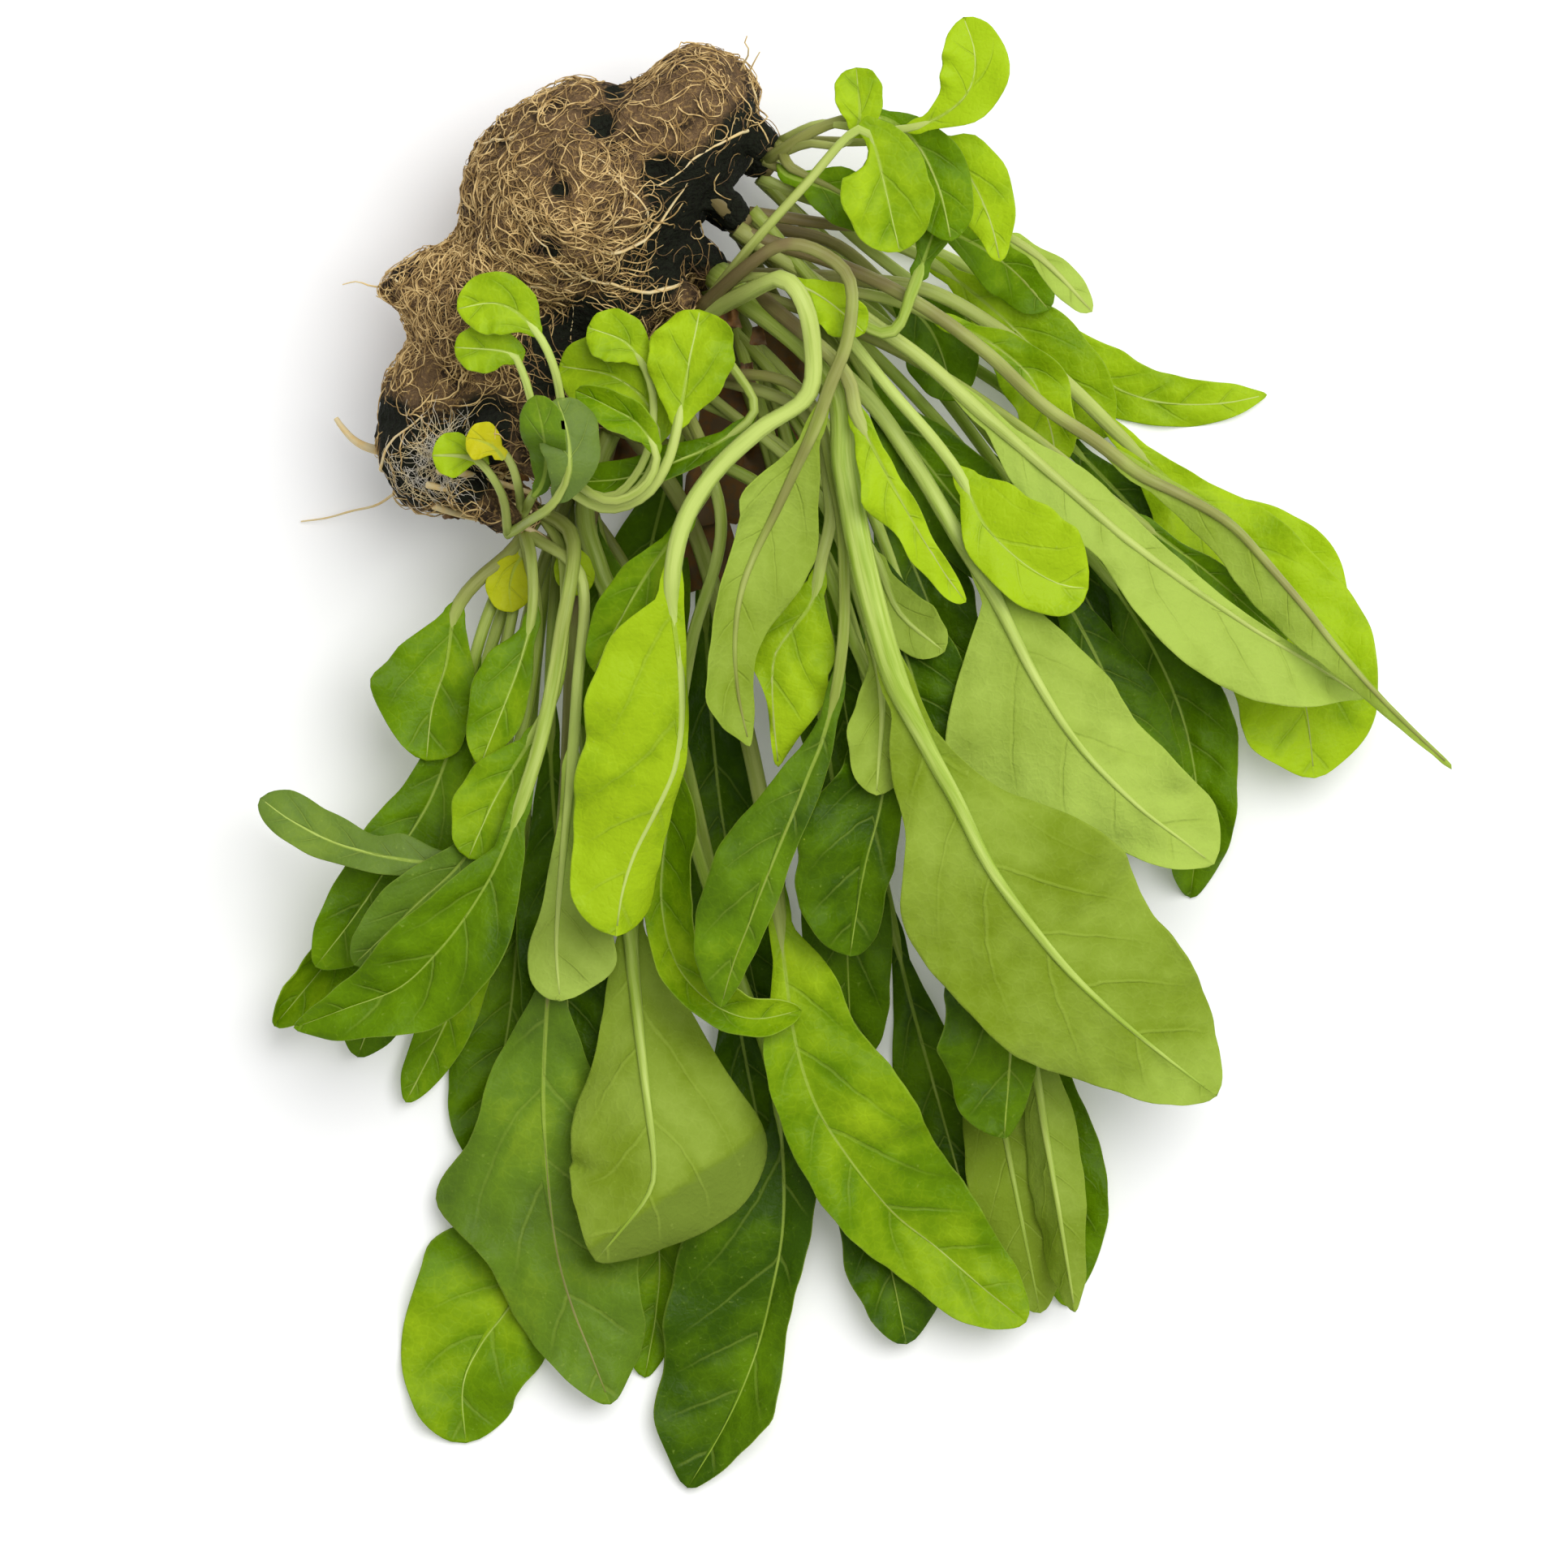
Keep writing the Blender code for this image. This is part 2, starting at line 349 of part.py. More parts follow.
def stations_of(leaf, crown):
    """Station points in the plan, their distance along it, and the share of the blade at each."""
    start = (crown[0], crown[1], 0.0)
    route = [start] + [(p[0], p[1], p[2] if len(p) > 2 else 0.0) for p in leaf.route]
    fine, along = resampled(route, 1.0)
    whole = along[-1]
    stem = whole - leaf.blade
    small = sum(leaf.width) < SMALL_LEAF
    step = SMALL_STATION if small else BLADE_STATION
    on_stem = np.linspace(0, stem, max(LEAST_ON_PETIOLE, round(stem / PETIOLE_STATION)) + 1)[:-1]
    count = max(LEAST_ON_BLADE, round(leaf.blade / step))
    shares = 1 - (1 - np.linspace(0, 1, count + 1)) ** 1.25
    shares[-1] = 0.985
    wanted = np.concatenate((on_stem, stem + leaf.blade * shares))
    points = np.column_stack([np.interp(wanted, along, fine[:, k]) for k in range(3)])
    return points, wanted, np.concatenate((np.full(len(on_stem), -1.0), shares))


def half_section(width, angle, curl, u):
    """Where the point at share u of a blade's half lies, out and up from the midrib, and its slope."""
    start, more = math.radians(angle), math.radians(curl)
    slope = start + more * u
    if abs(more) < 1e-3:
        return width * u * math.cos(start), width * u * math.sin(start), slope
    out = width * (math.sin(slope) - math.sin(start)) / more
    up = width * (math.cos(start) - math.cos(slope)) / more
    return out, up, slope


def ring(leaf, share, small):
    """The top and the bottom of a leaf's section, each from left to right, as pairs (side, up).
    share is below 0 on the stalk, where the section is round, and then the blade's share."""
    steps = (-1, 0, 1) if small else (-1, -0.55, 0, 0.55, 1)
    if share < 0:
        turn = math.pi / (2 * len(steps))
        angles = [math.pi - turn * (2 * k + 1) for k in range(len(steps))]
        top = [(leaf.stalk * math.cos(a), leaf.stalk * math.sin(a)) for a in angles]
        return top, [(x, -y) for x, y in top]
    least = 0.9 * leaf.stalk * (1 - share) ** 2 + 0.7
    rib = (leaf.stalk * RIB_AT_BLADE * (1 - share) + RIB_AT_TIP * share) * (1 - share) ** 0.3
    thick = BLADE_THICKNESS / 2
    sway = leaf.wave * 0.045 * sum(leaf.width) * math.sin(2 * math.pi * EDGE_WAVES * share + 2)
    opening = min(1.0, share * 4)
    top, bottom = [], []
    for step in steps:
        side = 0 if step < 0 else 1
        width = max(half_width(leaf, side, share), least)
        out, up, slope = half_section(width, leaf.sides[side] * opening, leaf.curl[side] * opening,
                                      abs(step))
        sign = -1 if step < 0 else 1
        up += sway * sign * step * step * opening
        if step == 0:
            slope = 0.0
        away = (-sign * math.sin(slope), math.cos(slope))
        below = thick + (rib if step == 0 else 0)
        above = thick if leaf.face == "upper" or step else thick + 0.6 * rib
        if leaf.face == "under" and step == 0:
            below = thick + 0.3 * rib
        top.append((sign * out + away[0] * above, up + away[1] * above))
        bottom.append((sign * out - away[0] * below, up - away[1] * below))
    return top, bottom


def frames_of(centres):
    """For each station, the sideways and the upward direction of its section."""
    ahead = np.gradient(centres, axis=0)
    ahead /= np.linalg.norm(ahead, axis=1)[:, None]
    level = np.column_stack((-ahead[:, 1], ahead[:, 0], np.zeros(len(ahead))))
    level /= np.maximum(np.linalg.norm(level, axis=1)[:, None], 1e-6)
    up = np.cross(level, ahead)
    up *= np.where(up[:, 2] < 0, -1, 1)[:, None]
    return -level, up


def rings_of(leaf, centres, shares):
    """The leaf's solid as an array: station, top or bottom, left to right, then x, y and z."""
    side, up = frames_of(centres)
    small = sum(leaf.width) < SMALL_LEAF
    rows = []
    for i, share in enumerate(shares):
        top, bottom = ring(leaf, share, small)
        flat = np.array([top, bottom])
        rows.append(centres[i] + flat[..., :1] * side[i] + flat[..., 1:] * up[i])
    return np.array(rows)


def samples_of(rings, fineness):
    """Points all over the solid's surface, and the station that each lies behind."""
    before, after = rings[:-1], rings[1:]
    points, owners = [], []
    for t in np.arange(0, 1.001, fineness):
        row = before * (1 - t) + after * t
        for s in np.arange(0, 1.001, fineness):
            spot = row[:, :, :-1] * (1 - s) + row[:, :, 1:] * s
            points.append(spot.reshape(-1, 3))
            owners.append(np.repeat(np.arange(len(before)), spot.shape[1] * spot.shape[2]))
    return np.vstack(points), np.concatenate(owners)


def cells_of(points):
    cell = np.floor((points[:, :2] - PILE_LOW) / CELL).astype(int)
    return np.clip(cell[:, 0], 1, PILE_SIZE[0] - 2), np.clip(cell[:, 1], 1, PILE_SIZE[1] - 2)


def stamp(pile, points):
    """Raises the pile to these points, and to the same height in the cells beside them."""
    columns, rows = cells_of(points)
    for dx in (-1, 0, 1):
        for dy in (-1, 0, 1):
            np.maximum.at(pile, (columns + dx, rows + dy), points[:, 2])


def soil_height():
    """The root ball's upper surface over the plan, from its lumps."""
    x, y = np.meshgrid(*(PILE_LOW[k] + CELL * (np.arange(PILE_SIZE[k]) + 0.5) for k in (0, 1)),
                       indexing="ij")
    height = np.full(PILE_SIZE, -GAP)
    for cx, cy, cz, rx, ry, rz, turn in SOIL_LUMPS:
        c, s = math.cos(math.radians(turn)), math.sin(math.radians(turn))
        u = ((x - cx) * c + (y - cy) * s) / (rx + LUMP_HEIGHT)
        v = (-(x - cx) * s + (y - cy) * c) / (ry + LUMP_HEIGHT)
        inside = 1 - u * u - v * v
        top = cz + (rz + LUMP_HEIGHT) * np.sqrt(np.maximum(inside, 0))
        height = np.where(inside > 0, np.maximum(height, top), height)
    return height


def rested(along, needed, radius):
    """The lowest line over the needed heights that bends no tighter than the radius."""
    drop = (along[:, None] - along[None, :]) ** 2 / (2 * radius)
    return (needed[None, :] - drop).max(axis=1)


def lay(leaf, crown, piles, own):
    """Lays a leaf on the pile. Returns its rings, and stamps them on its plant's own heights."""
    points, along, shares = stations_of(leaf, crown)
    floor = np.full(PILE_SIZE, -GAP)
    others = np.maximum.reduce([floor] + [p for name, p in piles.items() if name not in (own, "soil")])
    with_soil = np.maximum(others, piles["soil"])
    held = points[:, 2]
    free = min(FREE_OF_SOIL, FREE_SHARE * along[-1])
    height = rested(along, np.maximum(held, 1.0), BEND_RADIUS)
    height[0] = crown[2]
    for _ in range(LAYING_ROUNDS):
        centres = np.column_stack((points[:, :2], height))
        rings = rings_of(leaf, centres, shares)
        spots, owner = samples_of(rings, 0.2)
        columns, rows = cells_of(spots)
        distance = along[owner]
        beneath = np.where(distance > free, with_soil[columns, rows], others[columns, rows])
        if own in piles:
            beneath = np.where(distance > FREE_OF_OWN, np.maximum(beneath, piles[own][columns, rows]),
                               beneath)
        short = beneath + GAP - spots[:, 2]
        lack = np.full(len(points), -1e3)
        np.maximum.at(lack, owner, short)
        np.maximum.at(lack, owner + 1, short)
        if lack[1:].max() < MOST_DEFICIT:
            break
        target = np.maximum(height + lack, held)
        target[0] = crown[2]
        lifted = rested(along, target, BEND_RADIUS)
        climb = crown[2] + STEEPEST_CLIMB * along
        height = np.maximum(np.minimum(lifted, climb), target)
        height[0] = crown[2]
    piles.setdefault(own, floor.copy())
    stamp(piles[own], samples_of(rings, 0.08)[0])
    return rings


def crown_axis(crown):
    """From the root's tip in the soil to just past the crown."""
    middle = Vector(crown)
    inner = middle - FACE_OUT.normalized() * ROOT_DEPTH
    return inner, middle + FACE_OUT.normalized() * CROWN_RADIUS


def crown_rings(crown, extra=0.0, sides=8):
    """The crown's own solid: a tapering root that swells where the leaves grow."""
    inner, outer = crown_axis(crown)
    ahead = (outer - inner).normalized()
    across = ahead.cross(Vector((0, 0, 1))).normalized()
    above = across.cross(ahead)
    profile = ((0.0, 0.35), (0.3, 0.6), (0.6, 0.85), (0.85, 1.0), (0.97, 0.75))
    rows = []
    for share, size in profile:
        centre = inner.lerp(outer, share) if share or not extra else inner - ahead * extra
        radius = CROWN_RADIUS * size + extra
        rows.append([centre + radius * (across * math.cos(a) + above * math.sin(a))
                     for a in (2 * math.pi * k / sides for k in range(sides))])
    return rows


def mesh_object(name, build, collection):
    mesh = bpy.data.meshes.new(name)
    shape = bmesh.new()
    build(shape)
    bmesh.ops.recalc_face_normals(shape, faces=shape.faces)
    shape.to_mesh(mesh)
    shape.free()
    made = bpy.data.objects.new(name, mesh)
    collection.objects.link(made)
    return made


def add_tube(shape, rows):
    """Closed skin over rings of points that all have the same number of corners."""
    loops = [[shape.verts.new(Vector(p) * MM) for p in row] for row in rows]
    for before, after in zip(loops, loops[1:]):
        for k in range(len(before)):
            n = (k + 1) % len(before)
            shape.faces.new((before[k], before[n], after[n], after[k]))
    shape.faces.new(loops[0])
    shape.faces.new(loops[-1])


def add_leaf(shape, rings):
    """Closed skin over a leaf's rings. A blade's two faces are split alike, so they never cross."""
    tops, bottoms = ([[shape.verts.new(Vector(p) * MM) for p in row] for row in rings[:, k]]
                     for k in (0, 1))
    for i in range(len(tops) - 1):
        for k in range(len(tops[0]) - 1):
            for skin in (tops, bottoms):
                near, far = skin[i], skin[i + 1]
                shape.faces.new((near[k], near[k + 1], far[k + 1]))
                shape.faces.new((near[k], far[k + 1], far[k]))
        for k in (0, -1):
            shape.faces.new((tops[i][k], tops[i + 1][k], bottoms[i + 1][k]))
            shape.faces.new((tops[i][k], bottoms[i + 1][k], bottoms[i][k]))
    for i in (0, -1):
        shape.faces.new(tops[i] + bottoms[i][::-1])


def joined(body, others):
    """One Boolean union of the body with all the other objects, which are then removed."""
    group = bpy.data.collections.new(body.name + "_repeats")
    for other in others:
        group.objects.link(other)
    union = body.modifiers.new("Joined", "BOOLEAN")
    union.operation = "UNION"
    union.operand_type = "COLLECTION"
    union.collection = group
    union.solver = "EXACT"
    apply_modifiers(body)
    for other in others:
        bpy.data.objects.remove(other)
    bpy.data.collections.remove(group)


def apply_modifiers(made):
    graph = bpy.context.evaluated_depsgraph_get()
    mesh = bpy.data.meshes.new_from_object(made.evaluated_get(graph))
    old = made.data
    made.modifiers.clear()
    made.data = mesh
    bpy.data.meshes.remove(old)


def soil_point(direction):
    """How far the soil reaches from its centre in a direction, before its fine lumps."""
    reach = 0.0
    for cx, cy, cz, rx, ry, rz, turn in SOIL_LUMPS:
        c, s = math.cos(math.radians(turn)), math.sin(math.radians(turn))
        offset = SOIL_CENTRE - Vector((cx, cy, cz))
        start = Vector(((offset.x * c + offset.y * s) / rx, (-offset.x * s + offset.y * c) / ry,
                        offset.z / rz))
        way = Vector(((direction.x * c + direction.y * s) / rx,
                      (-direction.x * s + direction.y * c) / ry, direction.z / rz))
        a, b, d = way.dot(way), start.dot(way), start.dot(start) - 1
        inside = b * b - a * d
        if inside > 0:
            reach = max(reach, (-b + math.sqrt(inside)) / a)
    return reach


def build_soil(shape):
    bmesh.ops.create_icosphere(shape, subdivisions=SOIL_LEVELS, radius=1.0)
    stretch = Vector((1.0, 1.0, 1.0))
    for vert in shape.verts:
        direction = (vert.co * stretch).normalized()
        spot = SOIL_CENTRE + direction * soil_point(direction)
        lump = noise.fractal(spot / LUMP_SIZE, 0.9, 2.0, 3)
        spot += direction * LUMP_HEIGHT * lump
        for x, y, radius, depth in SOIL_DENTS:
            spot -= direction * depth * math.exp(-((spot.x - x) ** 2 + (spot.y - y) ** 2) / radius ** 2)
        vert.co = spot * MM
    for _ in range(2):
        bmesh.ops.smooth_vert(shape, verts=shape.verts, factor=0.35, use_axis_x=True, use_axis_y=True,
                              use_axis_z=True)


def flatten_foot(made):
    """Cuts the ball off level at the surface that it rests on, which leaves a small flat spot."""
    shape = bmesh.new()
    shape.from_mesh(made.data)
    cut = bmesh.ops.bisect_plane(shape, geom=shape.verts[:] + shape.edges[:] + shape.faces[:], dist=1e-6,
                                 plane_co=(0, 0, 0), plane_no=(0, 0, -1), clear_outer=True)
    edges = [e for e in cut["geom_cut"] if isinstance(e, bmesh.types.BMEdge)]
    bmesh.ops.holes_fill(shape, edges=edges, sides=0)
    bmesh.ops.recalc_face_normals(shape, faces=shape.faces)
    shape.to_mesh(made.data)
    shape.free()


def strand_paths(made):
    """Roots that run over the ball's skin, half sunk in it, from seeded starts."""
    tree = BVHTree.FromPolygons([v.co for v in made.data.vertices],
                                [p.vertices for p in made.data.polygons])
    draw = np.random.default_rng(7)
    paths = []
    while len(paths) < ROOT_STRANDS:
        start = SOIL_CENTRE * MM + Vector(draw.normal(size=3) * (0.02, 0.02, 0.02))
        start.z = 0.05
        heading = Vector((*draw.normal(size=2), 0)).normalized()
        path = []
        for _ in range(STRAND_STEPS):
            spot, normal, _, _ = tree.find_nearest(start)
            path.append(spot + normal * 0.1 * MM)
            heading += Vector(draw.normal(size=3) * 0.35)
            heading = (heading - normal * heading.dot(normal)).normalized()
            start = spot + heading * STRAND_STEP * MM
        if min(p.z for p in path) > 8 * MM and all((p / MM).dot(FACE_OUT) < 22 for p in path):
            paths.append(path)
    return paths


def add_strand(name, path, collection):
    curve = bpy.data.curves.new(name, "CURVE")
    curve.dimensions = "3D"
    curve.bevel_depth = STRAND_RADIUS * MM
    curve.bevel_resolution = 0
    curve.use_fill_caps = True
    line = curve.splines.new("POLY")
    line.points.add(len(path) - 1)
    for point, spot in zip(line.points, path):
        point.co = (*spot, 1.0)
    guide = bpy.data.objects.new(name + "_curve", curve)
    collection.objects.link(guide)
    bpy.context.view_layer.update()
    graph = bpy.context.evaluated_depsgraph_get()
    mesh = bpy.data.meshes.new_from_object(guide.evaluated_get(graph))
    made = bpy.data.objects.new(name, mesh)
    made.matrix_world = guide.matrix_world
    collection.objects.link(made)
    bpy.data.objects.remove(guide)
    shape = bmesh.new()
    shape.from_mesh(mesh)
    bmesh.ops.remove_doubles(shape, verts=shape.verts, dist=1e-6)
    bmesh.ops.recalc_face_normals(shape, faces=shape.faces)
    shape.to_mesh(mesh)
    shape.free()
    return made


def material(name, colour, roughness):
    made = bpy.data.materials.new(name)
    made.use_nodes = True
    shader = made.node_tree.nodes["Principled BSDF"]
    shader.inputs["Base Color"].default_value = (*colour, 1)
    shader.inputs["Roughness"].default_value = roughness
    shader.inputs["Metallic"].default_value = 0.0
    return made


def make_soil(crowns, collection, cutters):
    soil = mesh_object("soil_ball", build_soil, collection)
    fewer = soil.modifiers.new("Fewer faces", "DECIMATE")
    fewer.ratio = SOIL_KEPT
    apply_modifiers(soil)
    flatten_foot(soil)
    strands = [add_strand(f"strand_{k}", path, collection) for k, path in enumerate(strand_paths(soil))]
    joined(soil, strands)
    for k, crown in enumerate(crowns):
        cutter = mesh_object(f"hole_{k}", lambda shape: add_tube(
            shape, crown_rings(crown, HOLE_CLEARANCE)), cutters)
        cutter.hide_render = True
        cutter.display_type = "WIRE"
        hole = soil.modifiers.new(f"Hole {k}", "BOOLEAN")
        hole.operation = "DIFFERENCE"
        hole.object = cutter
        hole.solver = "EXACT"
    return soil


def make_plant(spec, crown, leaf_rings, collection):
    body = mesh_object(spec.name, lambda shape: add_tube(shape, crown_rings(crown)), collection)
    blades = [mesh_object(f"{spec.name}_{one.name}", lambda shape: add_leaf(shape, rings), collection)
              for one, rings in zip(spec.leaves, leaf_rings)]
    joined(body, blades)
    return body


def laid_out():
    """Every plant with the crown and the leaf rings that its place in the pile gives it."""
    piles = {"soil": soil_height()}
    found = []
    for spec in PLANTS + SEEDLINGS:
        x, y, least = spec.crown
        others = np.maximum.reduce([np.full(PILE_SIZE, -GAP)]
                                   + [p for name, p in piles.items() if name != "soil"])
        crown = (x, y, float(least))
        around = np.array([p for row in crown_rings(crown) for p in row])
        columns, rows = cells_of(around)
        lift = (others[columns, rows] + GAP - around[:, 2]).max()
        crown = (x, y, float(least + max(lift, 0)))
        piles[spec.name] = np.full(PILE_SIZE, -GAP)
        body = np.array(crown_rings(crown, sides=16))
        stamp(piles[spec.name], np.vstack([body[:-1] * (1 - t) + body[1:] * t
                                           for t in np.arange(0, 1.01, 0.1)]).reshape(-1, 3))
        found.append((spec, crown, [lay(one, crown, piles, spec.name) for one in spec.leaves]))
    return found


def main():
    for old in list(bpy.data.objects):
        bpy.data.objects.remove(old)
    parts = bpy.data.collections.new("arugula_bunch")
    cutters = bpy.data.collections.new("cutters")
    for group in (parts, cutters):
        bpy.context.scene.collection.children.link(group)
    leafy = material("Arugula leaf", (0.16, 0.33, 0.03), 0.45)
    peat = material("Peat and roots", (0.10, 0.065, 0.035), 0.95)
    found = laid_out()
    for spec, crown, leaf_rings in found:
        made = make_plant(spec, crown, leaf_rings, parts)
        made.data.materials.append(leafy)
    soil = make_soil([crown for _, crown, _ in found], parts, cutters)
    soil.data.materials.append(peat)


if __name__ == "__main__":
    main()
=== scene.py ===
"""The looks of a bunch of young arugula, lifted from its pot with the root ball and laid on its side.

Each leaf is a thin closed skin with a raised midrib, laid on the leaves below it by the same rules as
the solids that it stands for. The root ball is crumbled peat under a mat of fine roots.
"""

import math
from functools import cache, partial
from types import SimpleNamespace

import bmesh
import bpy
import numpy as np
from bpy.props import FloatProperty, FloatVectorProperty, IntProperty, PointerProperty
from mathutils import Matrix, Vector, noise
from mathutils.bvhtree import BVHTree


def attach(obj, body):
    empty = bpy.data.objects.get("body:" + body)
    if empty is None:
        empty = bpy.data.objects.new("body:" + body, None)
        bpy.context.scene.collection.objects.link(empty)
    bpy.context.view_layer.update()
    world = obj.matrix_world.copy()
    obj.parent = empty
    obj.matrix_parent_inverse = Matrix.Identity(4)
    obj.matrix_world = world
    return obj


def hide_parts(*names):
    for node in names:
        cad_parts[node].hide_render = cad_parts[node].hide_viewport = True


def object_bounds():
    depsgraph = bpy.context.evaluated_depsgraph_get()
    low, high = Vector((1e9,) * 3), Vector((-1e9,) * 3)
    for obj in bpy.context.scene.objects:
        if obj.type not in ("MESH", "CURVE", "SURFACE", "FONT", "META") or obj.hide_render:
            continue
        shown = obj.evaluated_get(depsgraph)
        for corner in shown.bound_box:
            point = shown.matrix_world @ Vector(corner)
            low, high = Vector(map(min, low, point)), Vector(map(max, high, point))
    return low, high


bl_info = {
    "name": "Bunch of arugula",
    "version": (1, 0, 0),
    "blender": (4, 5, 0),
    "location": "View3D > Sidebar > Arugula",
    "description": "Dresses the solids of a bunch of arugula with leaves, stalks, peat and roots",
    "category": "Add Mesh",
}

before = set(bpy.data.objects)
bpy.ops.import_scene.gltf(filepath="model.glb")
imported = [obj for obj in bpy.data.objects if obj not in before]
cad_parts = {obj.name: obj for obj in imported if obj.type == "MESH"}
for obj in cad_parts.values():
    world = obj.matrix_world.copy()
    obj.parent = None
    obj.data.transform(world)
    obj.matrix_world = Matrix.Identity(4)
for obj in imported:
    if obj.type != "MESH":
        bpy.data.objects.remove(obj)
CAD_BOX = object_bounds()
MM = 0.001
# Every finished mesh stays this far inside the box of the solids
INSET = 0.02 * MM

# The leaves' solids, in millimetres. The pile is laid with these, so the leaves lie where they do.
SOLID_THICKNESS = 0.7
ROUTE_SPACING = 1.0
RIB_AT_BLADE = 1.1
RIB_AT_TIP = 0.25
BLADE_STATION = 11.0
PETIOLE_STATION = 16.0
LEAST_ON_PETIOLE = 4
LEAST_ON_BLADE = 4
SMALL_STATION = 8.0
SMALL_LEAF = 18.2
EDGE_WAVES = 3.2
EDGE_CUT = 0.028
# How much closer together the sections lie towards the tip, and the last one's share of the blade
TIP_CROWDING = 1.25
LAST_SECTION = 0.985
# A blade opens from its stalk over the first quarter of its length
OPENING_RATE = 4
# Shares of the midrib that stand over and under a leaf that shows its underside
RIB_ABOVE = 0.6
RIB_BELOW = 0.3

# How the leaves lie on each other, in millimetres
CELL = 1.0
PILE_LOW = (-75.0, -235.0)
PILE_SIZE = (250, 300)
GAP = 0.75
BEND_RADIUS = 60.0
# The soil lifts a leaf only beyond this distance from its crown, or this share of its length if that is
# less, and the leaf's own plant lifts it only beyond the third value
FREE_OF_SOIL = 26.0
FREE_SHARE = 0.35
FREE_OF_OWN = 15.0
LAYING_ROUNDS = 7
MOST_DEFICIT = 0.02
STEEPEST_CLIMB = 1.3
LEAST_HEIGHT = 1.0
FAR_BELOW = -1e3
# Steps between the spots of a leaf's surface, as shares of a section: to lay it and to stamp it
LAYING_STEP = 0.2
STAMPING_STEP = 0.08

# Crowns, in millimetres
FACE_OUT = Vector((0.78, -0.62, 0.0))
CROWN_RADIUS = 3.6
ROOT_DEPTH = 13.0
# Shares of the way along the root and of its radius: of the solid, and of the skin that stands for it
SOLID_PROFILE = ((0.0, 0.35), (0.3, 0.6), (0.6, 0.85), (0.85, 1.0), (0.97, 0.75))
CROWN_PROFILE = ((0.0, 0.2), (0.3, 0.42), (0.55, 0.56), (0.68, 0.58), (0.76, 0.5), (0.82, 0.38),
                 (0.86, 0.2))
# How far the stalks stand apart at their crown, and over what length they draw together
FAN_ACROSS = 2.2
FAN_UP = 1.6
FAN_REACH = 13.0

# Skins of leaves and stalks: shares of a half blade from the midrib to the margin, and the spacing of
# their rows in millimetres
LARGE_COLUMNS = (0.0, 0.05, 0.12, 0.21, 0.32, 0.44, 0.57, 0.7, 0.82, 0.91, 0.97, 1.0)
SMALL_COLUMNS = (0.0, 0.09, 0.24, 0.44, 0.65, 0.84, 0.95, 1.0)
LARGE_ROW = 1.25
SMALL_ROW = 1.1
BLADE_FOOT = 0.14
STALK_SIDES = 12
STALK_ROW = 2.2
CROWN_SIDES = 18
# How far past a station the curve of its span may run, in lengths of that span
RUN_ON = 1.15
# Periods of the uneven waves of a blade, in millimetres: its bays, its margin and its dents
BAYS = (15.0, 9.3, 6.1)
WAVES = (17.0, 11.0, 7.3)
DENTS_ALONG = (23.0, 13.0, 8.1)
DENTS_ACROSS = (16.0, 9.7)
DENTS_ASKEW = (31.0, 12.0, 7.0)
# Halves narrower than these have shallower bays, or shallower waves and dents, in millimetres
BAYS_FADE_BELOW = 6
WAVES_FADE_BELOW = 8
# Share of a blade over which its tip is rounded
TIP_ROUNDING = 0.03
# Side veins: their spacing on the narrowest blade in millimetres, how much it grows with the blade's
# width, how far they bend to the tip, and how far the two sides stand apart in spacings
VEIN_SPACING = 5.5
VEIN_SPREAD = 0.5
VEIN_BEND = 0.7
VEIN_STAGGER = 0.46
# Share of a blade at which its midrib ends, and the groove along the top of a stalk
MIDRIB_END = 0.97
GROOVE_DEPTH = 0.16
GROOVE_WIDTH = 0.5

# The root ball's lumps: centre x, y, z, then half lengths along its own axes, then its turn in degrees
SOIL_LUMPS = (
    (23.3, 24.2, 31, 11.7, 15.6, 27, 0),
    (2.5, 12.5, 30, 22, 18.7, 28, 45),
    (-24.5, -3.4, 30, 11, 5, 8, 18),
    (-15, -8, 26, 14, 11, 22, 60),
    (-23, -31, 23, 12, 15.5, 20, 10),
    (-8, -22, 22, 14, 14, 19.5, 0),
    (8, -3, 22.5, 16, 12, 20, 30),
    (1, -1, 12, 18, 15, 15, 40),
)
# How far the crumbs stand out from the lumps
LUMP_HEIGHT = 2.2

# The usual outline of a blade half: shares of its greatest width, at even steps from stalk to tip
SPOON = (0.12, 0.3, 0.55, 0.8, 0.97, 1.0, 0.92, 0.72, 0.4)


def leaf(name, blade, left, right, sides, route, face="upper", curl=(0, 0), wave=1.0, stalk=1.15):
    """One leaf. blade is the blade's length. left and right are its halves, seen from the crown: the
    greatest width, or widths at even steps from the stalk to the tip. sides are the angles in degrees
    at which the halves rise from the midrib, and curl what they gain on the way to the edge. route
    runs from the crown to the tip, as x, y and where it is held up a least height."""
    halves = [np.array(half) if isinstance(half, tuple) else half * np.array(SPOON)
              for half in (left, right)]
    return SimpleNamespace(name=name, blade=blade, halves=halves, width=[half.max() for half in halves],
                           sides=sides, route=route, face=face, curl=curl, wave=wave, stalk=stalk)


def plant(name, crown, *leaves):
    return SimpleNamespace(name=name, crown=crown, leaves=leaves)


